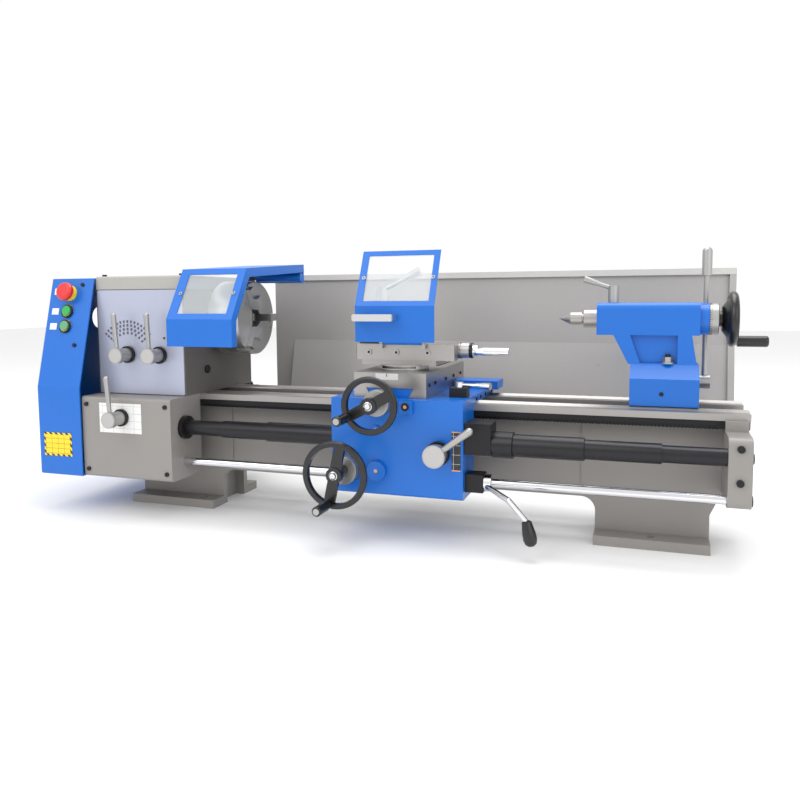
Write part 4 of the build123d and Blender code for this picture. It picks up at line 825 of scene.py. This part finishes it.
class LATHE_OT_grips(bpy.types.Operator):
    """Adds the black grip of the control lever and the side fittings"""

    bl_idname = "lathe.grips"
    bl_label = "Grips and fittings"

    def execute(self, context):
        lever_low, lever_high = low("control_lever"), high("control_lever")
        foot = Vector((lever_high.x - 11.5 * MM, lever_low.y + 11.5 * MM, lever_low.z + 11.5 * MM))
        top = foot + Vector((-7, 3, 30)) * MM
        length = (top - foot).length
        grip = lathe_turned(((0, -12.2 * MM), (5.5 * MM, -11 * MM), (10 * MM, -7 * MM), (12.1 * MM, 0),
                             (11.6 * MM, length * 0.4), (9.4 * MM, length * 0.8), (8.5 * MM, length),
                             (5.2 * MM, length + 2 * MM), (0, length + 2 * MM)))
        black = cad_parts["cross_wheel"].material_slots[0].material
        place("control_grip", grip, "control_lever", "black", black, aim(foot, top - foot))
        tail = middle("tail_wheel_handle")
        tip = Vector((high("tail_wheel_handle").x, tail.y, tail.z))
        place("tail_handle_cap", disc(6 * MM, -0.5 * MM, 0.02 * MM), "tail_wheel_handle", "steel", satin(),
              aim(tip, RIGHT))
        guard_low, guard_high = low("splash_guard"), high("splash_guard")
        # The lip is the splash guard's own enamel painted lighter: a painted highlight on the hem's front
        # face.
        lip_highlight_enamel = finish("lip_painted_highlight", (0.55, 0.54, 0.51), 0.35, coat=0.2)
        lip_front = guard_high.y - 9.5 * MM
        lip_low = (guard_low.x + 0.5 * MM, lip_front, guard_high.z - 13.3 * MM)
        lip_high = (guard_high.x - 0.5 * MM, lip_front + 1.2 * MM, guard_high.z - 0.2 * MM)
        place("splash_top_lip", box_mesh(lip_low, lip_high, 0.3 * MM), "frame", "splash", lip_highlight_enamel)
        plug = Vector((HEAD_RIGHT, -60 * MM, 300 * MM))
        place("oil_plug", disc(9 * MM, 0, 4 * MM), "frame", "black_matte", dark(), aim(plug, RIGHT))
        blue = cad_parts["apron"].material_slots[0].material
        glass = Vector((-21 * MM, low("apron").y - 4 * MM, 209 * MM))
        place("oil_sight_ring", sleeve(3 * MM, 8 * MM, -3.8 * MM, 0.6 * MM), "carriage", "blue", blue,
              aim(glass, FRONT))
        boss = Vector((-20 * MM, low("apron").y - 9 * MM, 132 * MM))
        place("apron_boss_ring", sleeve(3.5 * MM, 18.4 * MM, -8.8 * MM, 0.6 * MM), "carriage", "blue", blue,
              aim(boss, FRONT))
        side = low("apron").x + 255 * MM
        for name, lowest, highest in (
            ("interlock_cover", (side + 0.2 * MM, -174.7 * MM, 170.3 * MM),
             (side + 49.6 * MM, -125.4 * MM, 226.7 * MM)),
            ("rod_bearing_cover", (side + 0.2 * MM, -166.7 * MM, 99.3 * MM),
             (side + 34.2 * MM, -133.4 * MM, 132.7 * MM)),
            ("lock_block_cover", (side - 39.6 * MM, -125.6 * MM, 266.2 * MM),
             (side - 6.4 * MM, -99.4 * MM, 284.2 * MM)),
        ):
            place(name, box_mesh(lowest, highest, 0.6 * MM), "carriage", "black_matte", dark())
        oiler = Vector((38 * MM, low("apron").y - 8.8 * MM, 254 * MM))
        place("oiler_cap", sleeve(3.4 * MM, 7.3 * MM, -0.2 * MM, 0.5 * MM), "carriage", "black_matte", dark(),
              aim(oiler, FRONT))
        bar_low = low("tool_guard")
        left, right = -76.5 * MM, 4.5 * MM
        front, back = bar_low.y - 0.4 * MM, -130.4 * MM
        for name, lowest, highest in (
            ("handle_bar", (left, front, 408.4 * MM), (right, front + 7 * MM, 421.6 * MM)),
            ("handle_left", (left, front + 3 * MM, 408.4 * MM), (left + 15.5 * MM, back, 421.6 * MM)),
            ("handle_right", (right - 15.5 * MM, front + 3 * MM, 408.4 * MM), (right, back, 421.6 * MM)),
        ):
            place(f"guard_{name}", box_mesh(lowest, highest, 1.6 * MM), "tool_guard", "chrome", bright())
        return {"FINISHED"}


class LATHE_OT_stage(bpy.types.Operator):
    """Sets the floor, the lights and the camera"""

    bl_idname = "lathe.stage"
    bl_label = "Stage"

    def execute(self, context):
        stage = context.scene.lathe_stage
        floor_half, floor_thick = 9.0, 0.02
        made, tree, shader, vector = start_finish("pale_floor")
        vary(tree, shader, vector, stage.floor, 0.7, 0.02, 60.0, 1.5, 0.01)
        mesh = box_mesh((-floor_half, -floor_half, -floor_thick), (floor_half, floor_half, 0))
        mesh.materials.append(made)
        floor = bpy.data.objects.new("floor", mesh)
        context.scene.collection.objects.link(floor)
        target = Vector((0, 0, 0.28))
        for name, spot, size, power in (
            ("key", (-1.6, -2.6, 2.6), 2.4, stage.key_power),
            ("fill", (2.6, -2.2, 1.7), 2.6, stage.key_power * 0.55),
            ("top", (0.2, 0.5, 2.9), 2.2, stage.key_power * 1.5),
        ):
            lamp = bpy.data.lights.new(name, "AREA")
            lamp.energy = power
            lamp.size = size
            light = bpy.data.objects.new(name, lamp)
            light.matrix_world = aim(spot, Vector(spot) - target)
            context.scene.collection.objects.link(light)
        world = bpy.data.worlds.new("studio")
        world.use_nodes = True
        world.node_tree.nodes["Background"].inputs[0].default_value = (1, 1, 1, 1)
        world.node_tree.nodes["Background"].inputs[1].default_value = 1.02
        context.scene.world = world
        yaw, pitch, roll = math.radians(18.6), math.radians(5.01), math.radians(0.39)
        ahead = Vector((-math.sin(yaw) * math.cos(pitch), math.cos(yaw) * math.cos(pitch), -math.sin(pitch)))
        level = Vector((math.cos(yaw), math.sin(yaw), 0))
        fall = ahead.cross(level)
        across = math.cos(roll) * level + math.sin(roll) * fall
        down = math.cos(roll) * fall - math.sin(roll) * level
        data = bpy.data.cameras.new("camera")
        data.lens = stage.lens
        data.shift_x, data.shift_y = 0.001, -0.046
        camera = bpy.data.objects.new("camera", data)
        turn = Matrix((across, -down, -ahead)).transposed().to_4x4()
        camera.matrix_world = Matrix.Translation((0.4613, -1.4766, 0.4531)) @ turn
        context.scene.collection.objects.link(camera)
        context.scene.camera = camera
        context.scene.view_settings.view_transform = "Standard"
        return {"FINISHED"}


OPERATORS = (LATHE_OT_castings, LATHE_OT_dials, LATHE_OT_fasteners, LATHE_OT_plates, LATHE_OT_grips,
             LATHE_OT_stage)
GROUPS = {"lathe_paint": LathePaint, "lathe_detail": LatheDetail, "lathe_stage": LatheStage}


class LATHE_PT_panel(bpy.types.Panel):
    """Lists the steps that finish the lathe"""

    bl_label = "Bench Lathe"
    bl_idname = "LATHE_PT_panel"
    bl_space_type = "VIEW_3D"
    bl_region_type = "UI"
    bl_category = "Lathe"

    def draw(self, context):
        for operator in OPERATORS:
            self.layout.operator(operator.bl_idname)
        for name, group in GROUPS.items():
            column = self.layout.column(align=True)
            for field in group.__annotations__:
                column.prop(getattr(context.scene, name), field)


def register():
    for made in (*GROUPS.values(), *OPERATORS, LATHE_PT_panel):
        bpy.utils.register_class(made)
    for name, group in GROUPS.items():
        setattr(bpy.types.Scene, name, PointerProperty(type=group))


def unregister():
    for name in GROUPS:
        delattr(bpy.types.Scene, name)
    for made in reversed((*GROUPS.values(), *OPERATORS, LATHE_PT_panel)):
        bpy.utils.unregister_class(made)


def main():
    register()
    for operator in OPERATORS:
        step = operator.bl_idname.split(".")[1]
        getattr(bpy.ops.lathe, step)()


if __name__ == "__main__":
    main()
